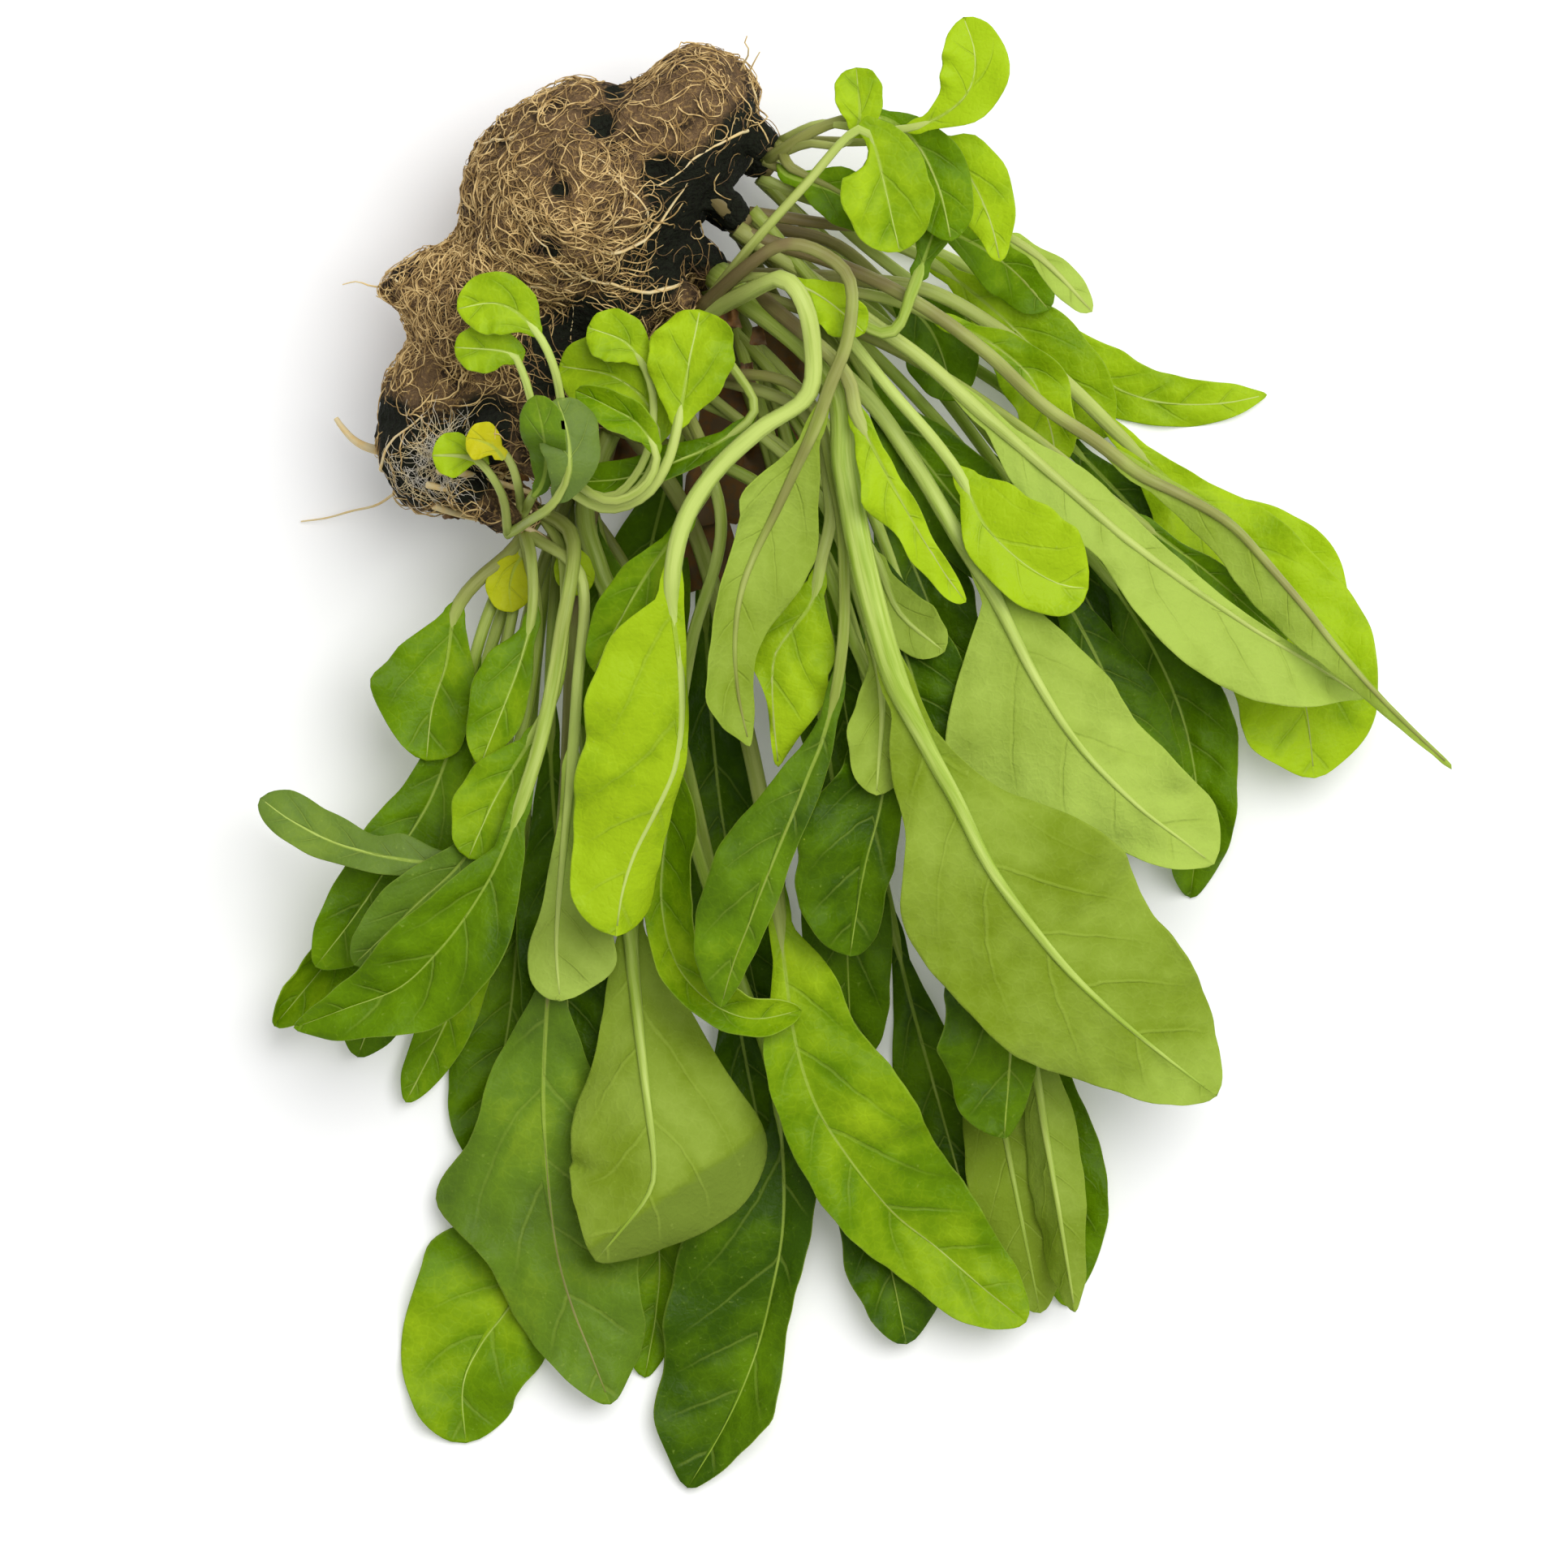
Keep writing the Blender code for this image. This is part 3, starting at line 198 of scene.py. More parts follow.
# From the lowest in the pile to the highest. Each plant lies on those before it.
PLANTS = (
    plant(
        "plant_right_lowest", (35, 17, 9),
        leaf("a", 49, (1, 2.2, 4, 6, 5.6, 5.3, 4.3, 3.3, 1.2), (1, 2.5, 4.5, 5.5, 5, 4.2, 3.8, 2.7, 1),
             (12, -8), ((57, 6), (70, 0), (80, -7), (86, -12), (92, -18), (98, -22), (106, -24),
                        (115, -24), (123, -22.5))),
        leaf("b", 42, (1, 2, 3, 5, 6.5, 7.5, 7, 5, 2), 9, (6, 8),
             ((62, -4), (85, -18), (100, -33), (114, -44), (124, -50), (131, -54), (137, -58.5))),
        leaf("c", 58, 8.5, 8.5, (8, -6),
             ((58, -8), (79, -23), (93, -36), (106, -50), (117, -62), (124, -76))),
        leaf("d", 42, 8, 8, (8, -6), ((52, 6), (63, 1), (75, -8), (86, -19), (95, -30))),
        leaf("e", 46, 9, 9, (6, 4), ((56, -10), (73, -32), (84, -48), (92, -60), (99, -76))),
    ),
    plant(
        "plant_right_under", (30, 7, 11),
        leaf("a", 60, (1, 3, 6, 8, 8.5, 8, 7, 5, 3), (1, 4, 8, 10, 10, 9, 7, 5, 2.5), (10, 18),
             ((60, -14), (82, -40), (97, -58), (106, -74), (110, -88), (110.5, -100), (109.5, -111)),
             wave=1.5),
        leaf("b", 54, 8, 8, (-10, 14), ((58, -20), (77, -42), (88, -60), (96, -76), (101, -90), (102, -104))),
        leaf("c", 50, 7.5, 7.5, (5, 10), ((54, -24), (69, -48), (80, -68), (88, -86), (94, -103))),
        leaf("d", 40, 8, 8, (8, 12), ((44, -20), (54, -38), (62, -56), (69, -74)), wave=1.4),
        leaf("e", 24, 6.5, 6.5, (10, 6), ((46, 4), (56, -4), (64, -12), (68, -24))),
        leaf("f", 46, 8.5, 8.5, (6, 10), ((46, -10), (56, -26), (67, -40), (80, -56))),
    ),
    plant(
        "plant_middle_lowest", (25, -4, 9),
        leaf("a", 62, 8, 8, (14, -8), ((42, -40), (52, -92), (59, -124), (65, -146), (70, -164), (74, -178))),
        leaf("b", 60, 11, (1, 3, 5, 6.5, 7.5, 8, 8, 6.5, 4), (-10, 20),
             ((38, -44), (44, -96), (48, -132), (52, -156), (56.5, -175), (59.5, -189.5)), wave=1.6),
        leaf("c", 66, (1, 3, 5, 6, 7, 8, 7.5, 5, 2), 8, (8, 12),
             ((47, -40), (68, -90), (77, -122), (83, -145), (87.5, -164), (88, -183))),
        leaf("d", 62, 8, 8, (-6, 5), ((44, -42), (60, -90), (70, -120), (75, -143), (79, -164), (83, -184)),
             face="under"),
        leaf("e", 52, (1, 3, 4.5, 5.5, 5.5, 5, 4, 3, 1.2), 8, (-4, -58),
             ((50, -36), (67, -86), (76, -118), (81, -136), (84, -153), (86.5, -168), (89, -183.5)),
             face="under"),
        leaf("f", 78, 9, 9, (8, 10), ((24, -30), (24, -58), (27, -96), (35, -137))),
        leaf("g", 56, 9, 9, (6, 10), ((22, -22), (18, -36), (13, -58), (11, -86))),
        leaf("h", 66, 9, 9, (8, 6), ((34, -18), (40, -36), (46, -62), (52, -98))),
        leaf("i", 56, 9.5, 9.5, (6, 6), ((42, -28), (53, -52), (61, -74), (68, -100))),
        leaf("j", 60, 8, 8, (6, 8), ((36, -32), (43, -68), (48, -104), (50, -142))),
    ),
    plant(
        "plant_left_lowest", (1, -36, 9),
        leaf("a", 58, 9.5, 9.5, (10, 8), ((-5, -64), (-8, -104), (-10, -130), (-13, -146), (-16, -158))),
        leaf("b", 50, 5, 5, (12, -6), ((-7, -62), (-12, -93), (-16, -116), (-21, -132), (-28.5, -147))),
        leaf("c", 54, (1, 4, 6, 8, 9, 11, 10, 8.5, 6), (1, 5, 10, 16, 18, 15.5, 12.5, 9.5, 6), (8, 6),
             ((2, -64), (4, -104), (4, -138), (2, -158), (-2, -168), (-6, -177), (-11, -184),
              (-15.5, -190), (-18.5, -197), (-18, -207))),
        leaf("d", 58, 5, 8, (16, 10), ((6, -64), (9, -110), (13, -146), (16, -172), (15.5, -184),
                                       (13.5, -195.5))),
        leaf("e", 56, 8.5, 8.5, (10, 12), ((14, -62), (26, -110), (31, -138), (35, -158), (38, -177))),
        leaf("f", 70, (1, 6, 6, 5, 4.6, 6, 7.7, 5, 2.5), (1, 8, 14, 18, 17.5, 17, 14.5, 11.7, 5), (30, 5),
             ((10, -62), (25, -110), (35, -138), (37, -148), (38, -160), (37.8, -170), (36, -180),
              (33.8, -189), (30.5, -198), (26.5, -206), (21, -215)), wave=0.8),
        leaf("g", 66, 8.4, 8.4, (6, 8), ((-2, -56), (-3, -84), (-1, -114), (1, -148))),
        leaf("h", 40, 8, 8, (8, 6), ((4, -46), (6, -60), (8, -84))),
    ),
    plant(
        "plant_left_under", (-6, -44, 12),
        leaf("a", 48, 7, 8, (6, 10), ((-14, -80), (-23, -106), (-31, -124), (-37, -139))),
        leaf("b", 58, 8, (1, 2, 3.5, 5, 6, 7, 7, 6, 3), (24, 26),
             ((-13, -66), (-19, -86), (-28, -103), (-38, -117), (-46, -127), (-51.5, -133.5)), curl=(26, 60)),
        leaf("c", 58, 9, 7, (4, 12), ((-14, -62), (-19, -80), (-24, -94), (-31, -105), (-37, -114),
                                      (-44, -123))),
        leaf("d", 38, (0.7, 2.5, 3, 3.2, 3.5, 3.7, 3.5, 2.5), (0.7, 3.5, 4.5, 3.5, 4.5, 5, 5, 3.5), (16, -14),
             ((-11, -70), (-12.5, -90), (-16, -101), (-22, -104.5), (-30, -104), (-40, -101.5),
              (-48, -97.5, 10), (-53.5, -93.5, 12)), stalk=1.0),
    ),
    plant(
        "plant_middle_under", (8, -27, 17),
        leaf("a", 78, (1.3, 5.5, 9, 13, 15, 15, 13, 10, 4.5), (1.3, 5, 10, 13.5, 19.5, 13, 10, 7, 3.5),
             (-4, -6), ((2, -56), (0, -92), (-2.5, -118), (-3.8, -134), (-4.2, -147), (-3.5, -160),
                        (-2, -172.5),
              (0.5, -182), (4, -191), (7.5, -200)), stalk=1.5, wave=1.2),
        leaf("b", 44, 5, 12, (-16, 6), ((42, -46), (57, -88), (70, -115), (77, -133), (76.5, -153)),
             wave=2.0),
        leaf("c", 88, (1, 8, 11.5, 14.5, 15.5, 13.6, 11, 8, 4.5), (1, 2.5, 5.7, 7, 8.6, 8.5, 8.5, 7.5, 4.5),
             (8, 12), ((22, -46), (31, -80), (36, -105), (38, -122), (40, -136), (43.5, -147), (49, -156),
                       (57, -166), (65, -172.5), (73, -179.5), (80.5, -185.5)), wave=1.2, stalk=1.6),
        leaf("d", 46, (1, 3, 4, 4.5, 5, 4.5, 3.5), (1, 6, 10, 13, 13, 10, 5.5), (16, 18),
             ((38, -42), (50, -66), (56, -82), (55, -94), (52, -106), (49.5, -121)), wave=2.0),
        leaf("e", 64, (1.5, 5, 9, 12.5, 17, 20.5, 16, 8, 3.5), (1.5, 4, 6, 9, 13, 15, 15.5, 12, 5.5),
             (-6, -4), ((3, -42), (5.5, -53), (9.5, -64), (11, -88), (11, -114), (12.3, -131), (14, -146),
                        (15.3, -158), (13.5, -164), (5, -174.5)), face="under", curl=(-18, -22), wave=0.7,
             stalk=1.9),
    ),
    plant(
        "plant_left_over", (-6, -45, 22),
        leaf("a", 36, 6, 6, (10, 14), ((-5, -64), (-9, -87), (-17, -103), (-26, -112), (-37, -122.5))),
        leaf("b", 26, (2, 3.5, 5, 6, 6.8, 6.5, 4.5), (2, 6, 9.5, 11.5, 10.5, 6.5, 3), (12, 8),
             ((-10, -51), (-16, -56), (-19.5, -61), (-21, -70), (-23.5, -78), (-24.5, -87)), stalk=1.3),
        leaf("c", 27, (1, 1.5, 2.5, 3.5, 4, 4, 2.5, 1.2), (1, 3, 6, 6.5, 6.5, 5.5, 4, 1.8), (20, 4),
             ((-5, -50), (-5.5, -60), (-8, -70), (-11, -78), (-15, -88)), stalk=1.0),
        leaf("d", 24, (0.8, 3, 4, 4.5, 4.5, 4, 3), (0.8, 3.5, 5.5, 6.5, 6.5, 5, 3), (12, 6),
             ((-1, -54), (-1, -72), (-6, -83), (-12, -93), (-17, -104)), stalk=1.0),
        leaf("e", 41, (1, 1.5, 2.5, 4, 6, 9, 10.5, 9.5, 5.5), (1, 1, 1.5, 2, 2.5, 3.2, 4.5, 5.3, 4), (2, -8),
             ((3, -54), (2, -74), (1, -88), (-0.5, -103), (-1.8, -118), (-1.2, -129)), face="under",
             stalk=1.1),
        leaf("f", 58, (1, 4, 6.5, 9.5, 10.5, 9.5, 7.2, 5.2, 2), (1, 1.5, 5.5, 8.3, 9.5, 9.3, 6.5, 3.5, 1.5),
             (14, 28), ((0.5, -50), (-1, -66), (-4, -82), (-8, -95), (-12, -105), (-17, -113.5),
                        (-22.5, -120.5), (-29, -126.5), (-38, -130), (-47.5, -133.5)), stalk=1.4),
        leaf("g", 12, 4.2, 4.2, (6, 6), ((-7, -50), (-9, -53), (-10, -57), (-9.5, -61)), stalk=0.75),
        leaf("h", 11, 3.5, 3.5, (6, 6), ((-2, -47), (0, -50), (1, -53), (3, -58)), stalk=0.75),
    ),
    plant(
        "plant_middle", (17, -19, 25),
        leaf("a", 20, 5, 5, (10, 14), ((40, -34), (53, -50), (58, -61), (66, -68)), face="under", stalk=1.0),
        leaf("b", 26, 6, 6, (-12, 16), ((42, -38), (52, -62), (55, -76), (54, -93)), face="under", stalk=1.0),
        leaf("c", 62, (1, 5, 7, 7, 7, 7, 6.5, 5, 3.5), (1, 2.5, 3.5, 4, 4, 4, 4, 4, 3), (10, 24),
             ((27, -44), (22, -66), (19, -84), (17.5, -98), (16.5, -111), (19, -122), (25, -129),
              (32.5, -132), (41, -130.5)), curl=(60, 20)),
        leaf("d", 34, (1, 3.5, 7.5, 10, 10, 9.5, 7, 3.5, 1.2), (1, 7.5, 9, 8, 4, 1.5, 0.9, 0.9, 0.6),
             (4, -10),
             ((41, -26), (46, -42), (44.5, -52), (42.8, -59.5), (39.5, -64), (36.5, -68.5), (36, -74),
              (36.3, -80), (37, -88)), stalk=1.2),
        leaf("e", 58, (1, 2, 3, 3, 3, 3.2, 3.2, 2.5, 1.2), (1, 2.3, 4.5, 7, 9, 10, 9.5, 6.8, 3), (16, -6),
             ((40, -22), (47, -40), (48.5, -58), (47.5, -72), (44.8, -83), (42.3, -89.5), (39.5, -96.5),
              (36.8, -103), (34, -110), (31.5, -116.5), (29, -123), (27, -130)), stalk=1.1),
        leaf("f", 30, 8, 5, (8, -6), ((25, -36), (22, -44), (16, -52), (11, -60), (5, -71.5)), stalk=1.1),
    ),
    plant(
        "plant_right_over", (27, -2, 30),
        leaf("a", 70, (1.5, 3, 5.5, 9, 12, 14, 14.2, 12, 5.5), (1.5, 5, 9, 12, 13, 13, 12, 11, 6), (4, 8),
             ((51, -3), (66, -6), (84, -18), (98, -31), (108, -40), (117, -50), (124, -62), (129, -75),
              (131, -90)), stalk=1.4, wave=1.3),
        leaf("b", 34, 5.5, 5.5, (14, 10), ((54, -6), (65, -10), (74, -14), (81, -20), (84, -27), (86, -36)),
             stalk=1.1, wave=2.2),
        leaf("c", 63, (1.5, 6, 9.3, 10.8, 11, 10.5, 10, 9.5, 6.5), (1.5, 9, 16, 21, 18.5, 12.7, 9, 6, 2.5),
             (-6, -4), ((50, -21), (60, -34), (69, -49), (74, -57), (77.5, -64), (81, -71), (85, -78),
                        (89.5, -84.5), (95, -90.5), (101, -96), (107, -100.5), (113, -105)),
             face="under", stalk=1.6),
        leaf("d", 92, (1.2, 3, 7, 17, 20, 19, 16.5, 12.5, 7), (1.2, 7, 11, 17, 19, 18, 14.5, 9.5, 4.5),
             (-5, -8), ((46, -20), (48.5, -36), (52, -54), (57, -72), (62.6, -84), (68, -94), (73.5, -105),
              (80.5, -115), (88, -124), (96.5, -132), (105, -139), (113.5, -145.5)),
             face="under", stalk=2.5, wave=1.2),
        leaf("e", 36, (1, 1.5, 2, 2, 2, 1.5, 1.5, 1), (1, 3.5, 5.5, 5.5, 4, 3.5, 3, 2), (8, 14),
             ((47, -18), (50.5, -27), (54, -34), (58, -41.5), (62, -48.5), (65.5, -54), (69.5, -59.5)),
             wave=2.6, stalk=1.4),
        leaf("f", 32, 3.2, 3.2, (30, 10), ((57, -15), (78, -28), (97, -43), (112, -54), (126, -66)),
             stalk=1.1),
    ),
    plant(
        "plant_right_high", (31, 7, 37),
        leaf("a", 26, 5.5, 5.5, (10, 6), ((50, 6), (60, 7.5), (70, 4), (78, -1), (84.5, -8)), stalk=1.1),
        leaf("b", 84, (1, 2.5, 4.5, 4, 3, 2, 1.5, 1.2, 0.6), (1, 5, 7, 5.8, 9, 11.8, 11.3, 8.2, 1.8),
             (-8, 10), ((51, -9), (62, -17), (72, -26), (80, -33), (88, -40), (96, -47), (104.5, -53.5),
              (113, -59.5), (121.5, -65), (130, -70), (139.5, -76)), face="under", stalk=1.4),
        leaf("c", 30, (3, 7, 9.5, 10.5, 11, 10.5, 9, 5.5), (1, 3, 5, 6, 6.5, 6.5, 6, 4), (16, 12),
             ((48, -12), (57, -23), (64, -31), (69, -38), (73, -46), (79, -52), (85.5, -56), (91, -57)),
             wave=0.9),
        leaf("d", 77, (0.8, 0.9, 1, 1, 1, 0.9, 0.8, 0.6, 0.4), (1, 3.5, 5.5, 6.8, 6, 4, 2.2, 1.2, 0.5),
             (-50, -16), ((57, -5), (72, -15), (83, -25), (92, -31), (100, -37), (108, -41), (116, -46),
                          (122.5, -53), (128.5, -60), (134, -67), (141, -75), (148, -82), (155, -88.5)),
             face="under", stalk=1.3),
        leaf("e", 14, 3.2, 3.2, (8, 8), ((44, -5), (53, -12), (57.5, -12), (60, -6), (63, 2), (66, 11)),
             stalk=1.2),
    ),
    plant(
        "plant_top_right", (36, 19, 38),
        leaf("a", 18, 2.8, 2.8, (-14, 8), ((57, 8), (69, 7), (77, 4), (84, -1), (91.5, -9)),
             face="under", stalk=0.8),
        leaf("b", 24, (1, 5, 6.3, 6, 5, 3, 1.5), (1, 3, 5, 5, 4, 2.5, 1.5), (14, -10),
             ((50, 20), (60, 21), (66, 19.5), (71, 13), (74, 6), (75.5, -0.5)), stalk=0.9),
        leaf("c", 28, 6, 6, (8, -12), ((46, 24), (55, 24.5), (61, 20), (65, 12), (67, 3)), stalk=1.0),
        leaf("d", 24, 6, 6, (10, 12), ((44, 22.5), (53, 22), (60, 22.5, 44), (66, 25, 48), (70, 29, 51),
                                       (71, 35, 54), (69, 41.5, 56)), stalk=0.8),
        leaf("e", 11, (2, 3.5, 4.2, 4, 2.5), (2, 3.5, 4.2, 4, 2.5), (10, 10),
             ((43, 21), (48, 20, 44), (51, 23.5, 48), (50.5, 33, 51)), stalk=0.75),
        leaf("f", 18, 5, 5, (10, 12), ((38, 15), (43, 13), (48, 11), (54, 6)), stalk=0.9),
    ),
    plant(
        "plant_middle_high", (23, -9, 32),
        leaf("a", 36, (0.8, 2, 2.8, 2.8, 2.8, 2, 1), (0.8, 2.2, 3.5, 3.6, 3.5, 2.6, 1.2), (34, -16),
             ((30, -19), (33, -26), (28, -31), (20, -35), (10, -38.2), (0, -38.6), (-4, -38.5)), stalk=0.9),
        leaf("b", 16, 4, 4.5, (10, 16), ((30, -4), (38, -4), (45, -7), (52, -13)), wave=2.2, stalk=0.8),
        leaf("c", 62, (1, 1.5, 1.7, 1.9, 2.4, 3.6, 5.5, 7, 6), (1.3, 11.5, 15.5, 16.5, 16.5, 15, 12, 9.5, 7),
             (-40, -4),
             ((33, -5, 44), (38, -3.5, 47), (41.5, -8, 48), (43, -16, 46), (42, -24, 44), (34, -29.5),
              (26, -37), (20.5, -46), (18.5, -57), (19.5, -68), (20, -79), (18.9, -88), (15.5, -96),
              (12, -103), (9.8, -110), (8.7, -117.5)), stalk=1.7),
        leaf("d", 58, (1, 4.6, 7.5, 10, 9.5, 6, 3.5, 2.5, 1.2), (1, 3.5, 8, 5.5, 4.5, 5, 6, 6, 1.5), (-6, 10),
             ((31, -2, 44), (38, 2.2, 49), (45, 0.5, 51), (49.5, -4.5, 50), (49, -14), (46, -22),
              (43.5, -29), (40, -36.5), (36.5, -44), (33, -51), (30.5, -58), (29.5, -66), (30, -75),
              (32, -84.5)), face="under", curl=(0, 50), stalk=1.25),
        leaf("e", 21, (3, 6, 7.6, 8, 7.6, 6, 3), (3, 6, 7.6, 8, 7.6, 6, 3), (6, 14),
             ((33, 3, 46), (42, 13, 49), (48.5, 20.5, 51), (51.7, 22.2, 52), (53.6, 19.5, 52.5),
              (55.5, 12, 52), (58, 1, 50)), stalk=0.9),
    ),
    plant(
        "plant_left_high", (-1, -38, 31),
        leaf("b", 22, (2.5, 5, 6.5, 6.5, 6, 3), (3, 5.5, 7, 7, 6, 3.5), (14, 10),
             ((7, -42), (13, -39.5), (16, -33), (14.5, -25.5), (8.5, -20.5), (-1, -18.5)), stalk=0.8),
        leaf("g", 11, (2, 4, 4.8, 4.5, 2.5), (2, 4, 4.8, 4.5, 2.5), (16, 8),
             ((7, -41.5), (12, -38), (15, -31), (15, -22), (11, -15), (4, -12)), stalk=0.75),
        leaf("c", 19, (2, 5, 7, 7.5, 6, 3.5), (2, 5, 7, 7.5, 7, 4), (-6, 10),
             ((7, -43), (14, -41), (18, -35), (20, -27), (21.5, -19), (23.5, -9)), stalk=1.0, wave=1.6),
        leaf("a", 17, (1, 3, 4, 4, 3, 1.5), (1, 3, 4, 4, 3, 1.5), (24, 30),
             ((7, -42.5), (13.5, -40), (16, -34.5), (13, -29), (8, -26), (2, -23)), curl=(10, 20),
             stalk=0.8),
        leaf("f", 11, (2, 3.6, 4.2, 3.8, 2), (2, 3.6, 4.2, 3.8, 2), (8, 8),
             ((-5, -26), (-7, -20), (-9.5, -16.5, 51), (-19, -15.5, 51)), stalk=0.75),
        leaf("e", 15, (1.5, 4.5, 5.5, 5, 2), (1.5, 4.5, 5.5, 5, 2), (8, 8),
             ((-1, -24), (-3, -16), (-7, -10.5, 54), (-12, -8, 55), (-18.5, -9, 53)), stalk=0.8),
    ),
)

SEEDLINGS = (
    plant(
        "seedling_left", (-9, -46, 34),
        leaf("a", 9, 4, 4, (6, 6), ((-10, -40), (-14, -35), (-18, -34), (-23, -34)), stalk=0.75),
        leaf("b", 7, 3.5, 3.5, (6, 6), ((-9, -41), (-10, -36), (-12.5, -32.5), (-17, -31)), stalk=0.75),
        leaf("c", 17, (2, 4, 5, 5, 3), (2, 4.5, 5.5, 5.5, 3), (10, -18),
             ((-6, -44.5), (-1.5, -42), (1, -37.5), (0.8, -31), (-1.2, -24.5)), stalk=0.8),
        leaf("d", 16, (1, 3, 4, 4, 2), (1, 3, 4, 4, 2), (-20, 24),
             ((-7, -43), (-4, -39.5), (-3, -35), (-3.6, -29.5), (-4.8, -24)), stalk=0.8),
    ),
)

# How each leaf looks, in the order of its plant's leaves: its brightness from dark 0 to bright 1, its bloom,
# greyish below 0 and yellow above, and the blush, brown and purple, in its stalk. The brightness is partly
# the leaf's own colour and partly painted light and shade: mostly low deep in the pile and high on top.
LOOKS = {
    "plant_right_lowest": ((0.8, 0, 0.1), (1.15, 0, 0.1), (0.1, -0.1, 0.2), (0.7, 0, 0.2),
                           (0.06, 0, 0.2)),
    "plant_right_under": ((0.2, 0, 0.2), (0.1, 0, 0.2), (0.05, 0, 0.3), (0.1, 0, 0.4), (0.15, 0, 0.5),
                          (0.15, 0, 0.3)),
    "plant_middle_lowest": ((0.1, 0, 0.3), (0.05, 0, 0.4), (0.35, 0, 0.2), (0.15, -0.2, 0.2),
                            (0.35, -0.2, 0.2), (0.1, 0, 0.3), (0.12, 0, 0.2), (0.1, 0, 0.3),
                            (0.06, 0, 0.2), (0.05, 0, 0.2)),
    "plant_left_lowest": ((0.15, 0, 0.2), (0.45, 0, 0.2), (0.5, 0, 0.1), (0.35, 0, 0.2), (0.15, 0, 0.3),
                          (0.05, 0, 0.1), (0.1, 0, 0.2), (0.2, 0, 0.2)),
    "plant_left_under": ((0.15, 0, 0.3), (0.45, 0, 0.1), (0.3, 0, 0.1), (0.45, -0.6, 0.1)),
    "plant_middle_under": ((0.4, -0.35, 1.0), (0.15, 0, 0.3), (0.62, 0, 0.5), (0.12, 0, 0.2),
                           (0.28, -0.15, 0.1)),
    "plant_left_over": ((0.3, -0.4, 0.2), (0.55, 0, 0.3), (0.55, 0, 0.1), (0.5, 0, 0.1),
                        (0.9, -0.1, 0.1), (0.35, 0, 0.2), (1.0, 0.6, 0.1), (0.8, 0.2, 0.1)),
    "plant_middle": ((0.6, 0, 0.2), (0.6, 0, 0.2), (0.5, 0, 0.2), (0.85, 0, 0.4), (0.18, -0.15, 0.5),
                     (0.4, 0, 0.3)),
    "plant_right_over": ((0.88, 0, 0.5), (0.8, 0, 0.4), (0.8, 0, 0.1), (0.34, 0, 0.0), (0.95, 0, 0.6),
                         (0.3, 0, 0.6)),
    "plant_right_high": ((0.4, 0, 0.5), (0.95, 0, 0.3), (1.08, 0, 0.1), (0.6, 0, 0.9), (0.2, 0, 0.1)),
    "plant_top_right": ((0.8, 0, 0.4), (0.85, 0, 0.3), (0.4, 0, 0.3), (1.1, 0, 0.1), (0.8, 0, 0.2),
                        (0.35, 0, 0.3)),
    "plant_middle_high": ((0.35, 0, 0.1), (0.9, 0, 0.2), (0.98, 0, 0.05), (0.5, 0, 0.9), (0.7, 0, 0.2)),
    "plant_left_high": ((0.78, 0, 0.1), (0.8, 0, 0.1), (0.82, 0, 0.1), (0.6, 0, 0.1), (0.75, 0, 0.0),
                        (0.85, 0, 0.0)),
    "seedling_left": ((0.9, 0.1, 0.1), (1.0, 1.0, 0.1), (0.55, -0.7, 0.1), (0.4, -0.3, 0.1)),
}


def linear(code):
    """A colour written as an sRGB hex value, as linear red, green, blue and full opacity."""
    parts = [(code >> shift & 255) / 255 for shift in (16, 8, 0)]
    return tuple(c / 12.92 if c <= 0.04045 else ((c + 0.055) / 1.055) ** 2.4 for c in parts) + (1.0,)


def colour(name, description, code):
    return FloatVectorProperty(name=name, description=description, default=linear(code), size=4,
                               min=0.0, max=1.0, subtype="COLOR")


def length(name, description, millimetres):
    return FloatProperty(name=name, description=description, default=millimetres * MM, min=0.0,
                         precision=5, unit="LENGTH")


def quantity(name, description, count):
    return IntProperty(name=name, description=description, default=count, min=0)


class ArugulaLeafSettings(bpy.types.PropertyGroup):
    """Sizes and colours of the leaves and their stalks."""

    thickness: length("Blade thickness", "Thickness of a blade away from its veins", 0.42)
    relief: length("Relief", "How far the blade bulges between its side veins", 0.42)
    pucker: length("Puckers", "Depth of the broad uneven dents of a blade", 0.75)
    margin_wave: length("Margin wave", "How far the margin waves up and down", 0.5)
    scallop: length("Scallops", "Depth of the shallow bays along the margin", 0.14)
    # Upper sides run from dark through middle to bright, and undersides from under to pale, with each leaf's
    # brightness, which is partly painted light and shade
    dark: colour("Dark upper side", "Old or shaded upper sides", 0x3A5A00)
    middle: colour("Upper side", "Usual upper sides", 0x6F9600)
    bright: colour("Bright upper side", "Young and sunlit upper sides", 0xB2D21A)
    under: colour("Underside", "Dull side of a leaf", 0x869F22)
    under_pale: colour("Pale underside", "Palest undersides", 0xB8D05C)
    bloom: colour("Bloom", "Greyish cast of some leaves", 0x74864A)
    yellow: colour("Yellowing", "Old seed leaves and small dying leaves", 0xDAD41E)
    vein: colour("Veins", "Veins and midrib on the upper side", 0xB2CA52)
    stalk: colour("Stalk", "Pale stalks and raised midribs", 0xCDE076)
    stalk_green: colour("Green of a stalk", "Greener streaks of a stalk", 0x98B634)
    blush: colour("Stalk blush", "Brown and purple tinge of some stalks", 0x7B6747)


